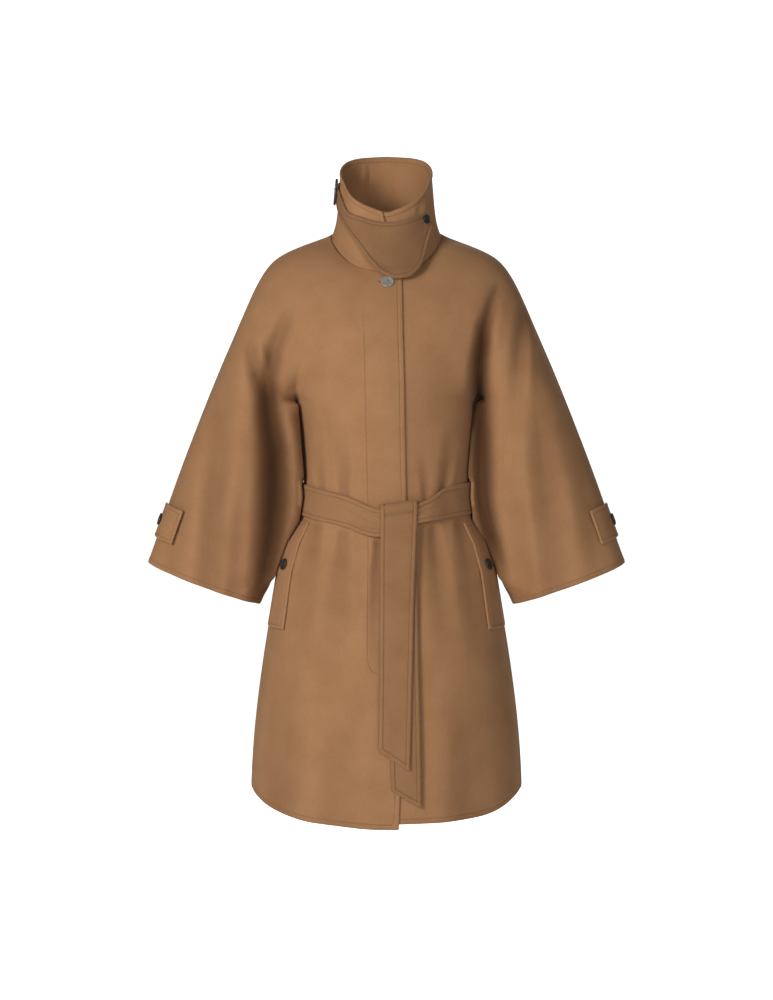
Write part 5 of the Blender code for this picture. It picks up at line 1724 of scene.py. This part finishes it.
def makeButton(node, size, seat, normal, material, thread, turn=0.4):
    toward = np.array(normal) / np.linalg.norm(normal)
    centre = np.array(seat) + toward * (restGap + size.thickness / 2)
    across = size.radius * button["holeOut"]
    angles = [math.pi / 4 + k * math.pi / 2 for k in range(4)]
    places = [(across * math.cos(angle), across * math.sin(angle)) for angle in angles]
    tools = []
    for x, y in places:
        hole = turnedMesh("hole", ((1, -1), (1, 1)), size.radius * button["hole"], size.thickness, 20)
        hole.transform(Matrix.Translation((x, y, 0)))
        tools.append(hole)
    mesh = cutThrough(turnedMesh(node, buttonOutline, size.radius, size.thickness, button["sides"]), tools)
    mesh.transform(seatFrame(centre, toward, turn))
    mesh.shade_smooth()
    mesh.set_sharp_from_angle(angle=math.radians(40))
    mesh.materials.clear()
    mesh.materials.append(material)
    placed("horn_" + node, mesh, node, node)
    # Two stitches across the holes and the shank under the button
    top = size.thickness * button["top"]
    bars = [roundBar(stitchPath(places[a], places[b], top), button["cord"]) for a, b in ((0, 1), (3, 2))]
    low = -size.thickness / 2
    bars.append(roundBar([(0, 0, low - restGap - 0.0002), (0, 0, low + 0.0006)], across * 0.9, 12))
    sewn = barMesh("thread_" + node, bars)
    sewn.transform(seatFrame(centre, toward, turn))
    sewn.materials.append(thread)
    placed("thread_" + node, sewn, node)


darkHorn = hornMaterial("dark_horn", (0.016, 0.013, 0.011, 1), (0.060, 0.047, 0.038, 1))
paleHorn = hornMaterial("pale_horn", (0.20, 0.19, 0.175, 1), (0.42, 0.41, 0.385, 1))
darkThread = threadMaterial("dark_thread", (0.060, 0.040, 0.028, 1))
paleThread = threadMaterial("pale_thread", (0.30, 0.26, 0.21, 1))


def makeButtons():
    yoke = yokeRows[0]
    neckZ = collarEdges[0].base
    share = (neckZ - frontButtonZ) / (neckZ - yoke.frontZ)
    normal = np.array([0, yoke.frontZ - neckZ, yoke.frontDepth - neckFront])
    normal /= np.linalg.norm(normal)
    depth = neckFront + (yoke.frontDepth - neckFront) * share
    seat = np.array([frontButtonX, -depth, frontButtonZ]) + normal * lapLift
    makeButton("front_button", frontButton, seat, normal, paleHorn, paleThread, 0.1)
    # Its buttonhole, worked round in thread
    half, side, out = buttonhole["half"], buttonhole["side"], buttonhole["out"]
    loop = [(half * x - out, side * y, 0) for x, y in circle(24)]
    hole = barMesh("front_buttonhole", [roundBar([*loop, loop[0]], button["cord"])])
    hole.transform(seatFrame(seat + normal * buttonhole["stand"], normal))
    hole.materials.append(darkThread)
    placed("thread_front_buttonhole", hole, "front_right")

    at, normal = collarAtZ(math.radians(collarButtonAngle), collarButtonZ)
    stand = flapStand(collarButtonAngle, collarButtonZ) + trimWall + facetGap
    makeButton("collar_button", collarButton, at + normal * stand, normal, darkHorn, darkThread, 0.5)

    for hand, label in ((-1, "right"), (1, "left")):
        at, normal = sleeveSurface(sum(tabAlong) / 2, tabButtonAngle, hand)
        seat = at + normal * (tabStand[1] + trimWall + facetGap)
        makeButton(f"cuff_button_{label}", cuffButton, seat, normal, darkHorn, darkThread, 0.3)
        at, normal = frontGridPoint(weltButtonZ, weltButtonColumn, hand < 0)
        seat = at + normal * (restGap + trimWall)
        makeButton(f"pocket_button_{label}", pocketButton, seat, normal, darkHorn, darkThread, 0.7)


makeButtons()

# Collar buckle: a leather-covered frame with a middle bar and a metal prong

buckle = {"bar": 0.0021, "flatness": 0.9, "corner": 0.0065, "prong": 0.00115}


def roundedLoop(width, height, corner, steps=7):
    places = []
    for cx, cz, start in ((1, 1, 0), (-1, 1, 90), (-1, -1, 180), (1, -1, 270)):
        for k in range(steps + 1):
            turn = math.radians(start + 90 * k / steps)
            x = cx * (width / 2 - corner) + corner * math.cos(turn)
            places.append((x, cz * (height / 2 - corner) + corner * math.sin(turn)))
    return places


def outwardFaces(mesh):
    shape = bmesh.new()
    shape.from_mesh(mesh)
    bmesh.ops.recalc_face_normals(shape, faces=shape.faces)
    shape.to_mesh(mesh)
    shape.free()


def makeBuckle():
    at, _ = collarAtZ(-rightAngle, buckleZ)
    centre = Vector((at[0] - buckleStand - buckleBar / 2, at[1], buckleZ))
    bar = buckle["bar"]
    loop = roundedLoop(buckleLength - 2 * bar, buckleHeight - 2 * bar, buckle["corner"])
    sides, rows = 14, []
    for i, (y, z) in enumerate(loop):
        before, after = Vector((0, *loop[i - 1])), Vector((0, *loop[(i + 1) % len(loop)]))
        ahead = (after - before).normalized()
        outward = Vector((1, 0, 0)).cross(ahead) * bar
        wide = Vector((1, 0, 0)) * bar * buckle["flatness"]
        rows.append([tuple(Vector((0, y, z)) + outward * a + wide * b) for a, b in circle(sides)])
    points = [point for row in rows for point in row]
    faces = []
    for i in range(len(loop)):
        for k in range(sides):
            a, b = i * sides + k, i * sides + (k + 1) % sides
            c, d = ((i + 1) % len(loop)) * sides + (k + 1) % sides, ((i + 1) % len(loop)) * sides + k
            faces.append((a, b, c, d))
    mesh = bpy.data.meshes.new("collar_buckle_frame")
    mesh.from_pydata(points, [], faces)
    place = Matrix.Translation(centre) @ Matrix.Rotation(buckleTilt, 4, "Y")
    mesh.transform(place)
    mesh.validate()
    mesh.shade_smooth()
    mesh.materials.append(leatherMaterial("dark_leather"))
    outwardFaces(mesh)
    placed("leather_buckle_frame", mesh, "collar_buckle", "collar_buckle")
    half = buckleHeight / 2 - 2 * bar
    upright = [(0, 0, half * share) for share in (-1, -1 / 3, 1 / 3, 1)]
    middle = barMesh("buckle_middle_bar", [roundBar(upright, bar * 0.75, 12)])
    middle.transform(place)
    middle.materials.append(metalMaterial("buckle_metal"))
    placed("metal_buckle_bar", middle, "collar_buckle")
    reach = buckleLength / 2 - bar
    bend = ((-0.0022, 0.0012), (-0.0026, -0.002), (-0.0024, -reach * 0.5), (-0.0022, -reach))
    bend += ((-0.0010, -reach - 0.0014),)
    prong = barMesh("buckle_prong", [roundBar([(x, y, 0.004) for x, y in bend], buckle["prong"], 10)])
    prong.transform(place)
    prong.materials.append(bpy.data.materials["buckle_metal"])
    placed("metal_buckle_prong", prong, "collar_buckle")


makeBuckle()
print("buttons and buckle done")
# Floor, light and camera

studio = {
    "floorZ": -1.42,
    "target": (0.0, 0.0, -0.406),
    "distance": 4.5,
    "elevation": math.radians(4),
    "lens": 104.5,
    "world": 0.13,
    "seenWorld": 1.2,
    "glow": 1.1,
    "floorHalf": 30.0,
}


# The floor reads as white without lighting the cape from below
def paleMaterial(name, colour):
    material = bpy.data.materials.new(name)
    shader = principled(material)
    g = Graph(material.node_tree)
    soft = g.noise(1.4, 2)
    dimmer = tuple(c * 0.985 for c in colour[:3]) + (1,)
    g.give(shader.inputs["Base Color"], g.mix(soft, dimmer, colour))
    g.give(shader.inputs["Roughness"], g.math("MULTIPLY_ADD", soft, 0.1, 0.8))
    shader.inputs["Emission Color"].default_value = colour
    seen = g.node("LightPath").outputs["Is Camera Ray"]
    g.give(shader.inputs["Emission Strength"], g.math("MULTIPLY", seen, studio["glow"]))
    return material


def makeFloor():
    half = studio["floorHalf"]
    mesh = bpy.data.meshes.new("studio_floor")
    points = [(x, y, studio["floorZ"]) for y in (-half, 0, half) for x in (-half, 0, half)]
    mesh.from_pydata(points, [], [tuple(map(int, quad)) for quad in gridQuads(3, 3)])
    mesh.materials.append(paleMaterial("pale_floor", (0.93, 0.93, 0.925, 1)))
    floor = bpy.data.objects.new("studio_floor", mesh)
    bpy.context.scene.collection.objects.link(floor)


def softLight(name, place, aim, size, power, colour=(1, 1, 1)):
    data = bpy.data.lights.new(name, "AREA")
    data.shape, data.size, data.size_y = "RECTANGLE", size[0], size[1]
    data.energy, data.color = power, colour
    light = bpy.data.objects.new(name, data)
    light.location = place
    light.rotation_euler = (Vector(aim) - Vector(place)).to_track_quat("-Z", "Y").to_euler()
    light.visible_camera = False
    bpy.context.scene.collection.objects.link(light)


def makeStudio():
    makeFloor()
    softLight("key", (-2.1, -2.9, 0.55), (0, 0, -0.38), (1.2, 1.2), 82, (1.0, 0.985, 0.965))
    softLight("front", (1.1, -3.5, 0.3), (0, 0, -0.3), (1.6, 1.6), 30, (0.97, 0.985, 1.0))
    softLight("back", (0.4, 3.6, 0.8), (0, 0, -0.35), (2.2, 2.2), 60, (1.0, 0.995, 0.985))
    world = bpy.data.worlds.new("pale_world")
    world.use_nodes = True
    g = Graph(world.node_tree)
    height = g.node("SeparateXYZ", {0: g.node("TexCoord").outputs["Generated"]}).outputs["Z"]
    upward = g.node("MapRange", {"Value": height, "From Min": 0.0, "From Max": 0.9}).outputs["Result"]
    background = world.node_tree.nodes["Background"]
    g.give(background.inputs["Color"], g.mix(upward, (1, 1, 1, 1), (0.8, 0.8, 0.81, 1)))
    seen = g.node("LightPath").outputs["Is Camera Ray"]
    g.give(background.inputs["Strength"], g.math("MULTIPLY_ADD", seen, studio["seenWorld"], studio["world"]))
    scene = bpy.context.scene
    scene.world = world
    scene.view_settings.view_transform = "Standard"
    target, rise = Vector(studio["target"]), studio["elevation"]
    data = bpy.data.cameras.new("camera")
    data.lens, data.sensor_width = studio["lens"], 36.0
    camera = bpy.data.objects.new("camera", data)
    camera.location = target + studio["distance"] * Vector((0, -math.cos(rise), math.sin(rise)))
    camera.rotation_euler = (target - camera.location).to_track_quat("-Z", "Y").to_euler()
    scene.collection.objects.link(camera)
    scene.camera = camera


makeStudio()
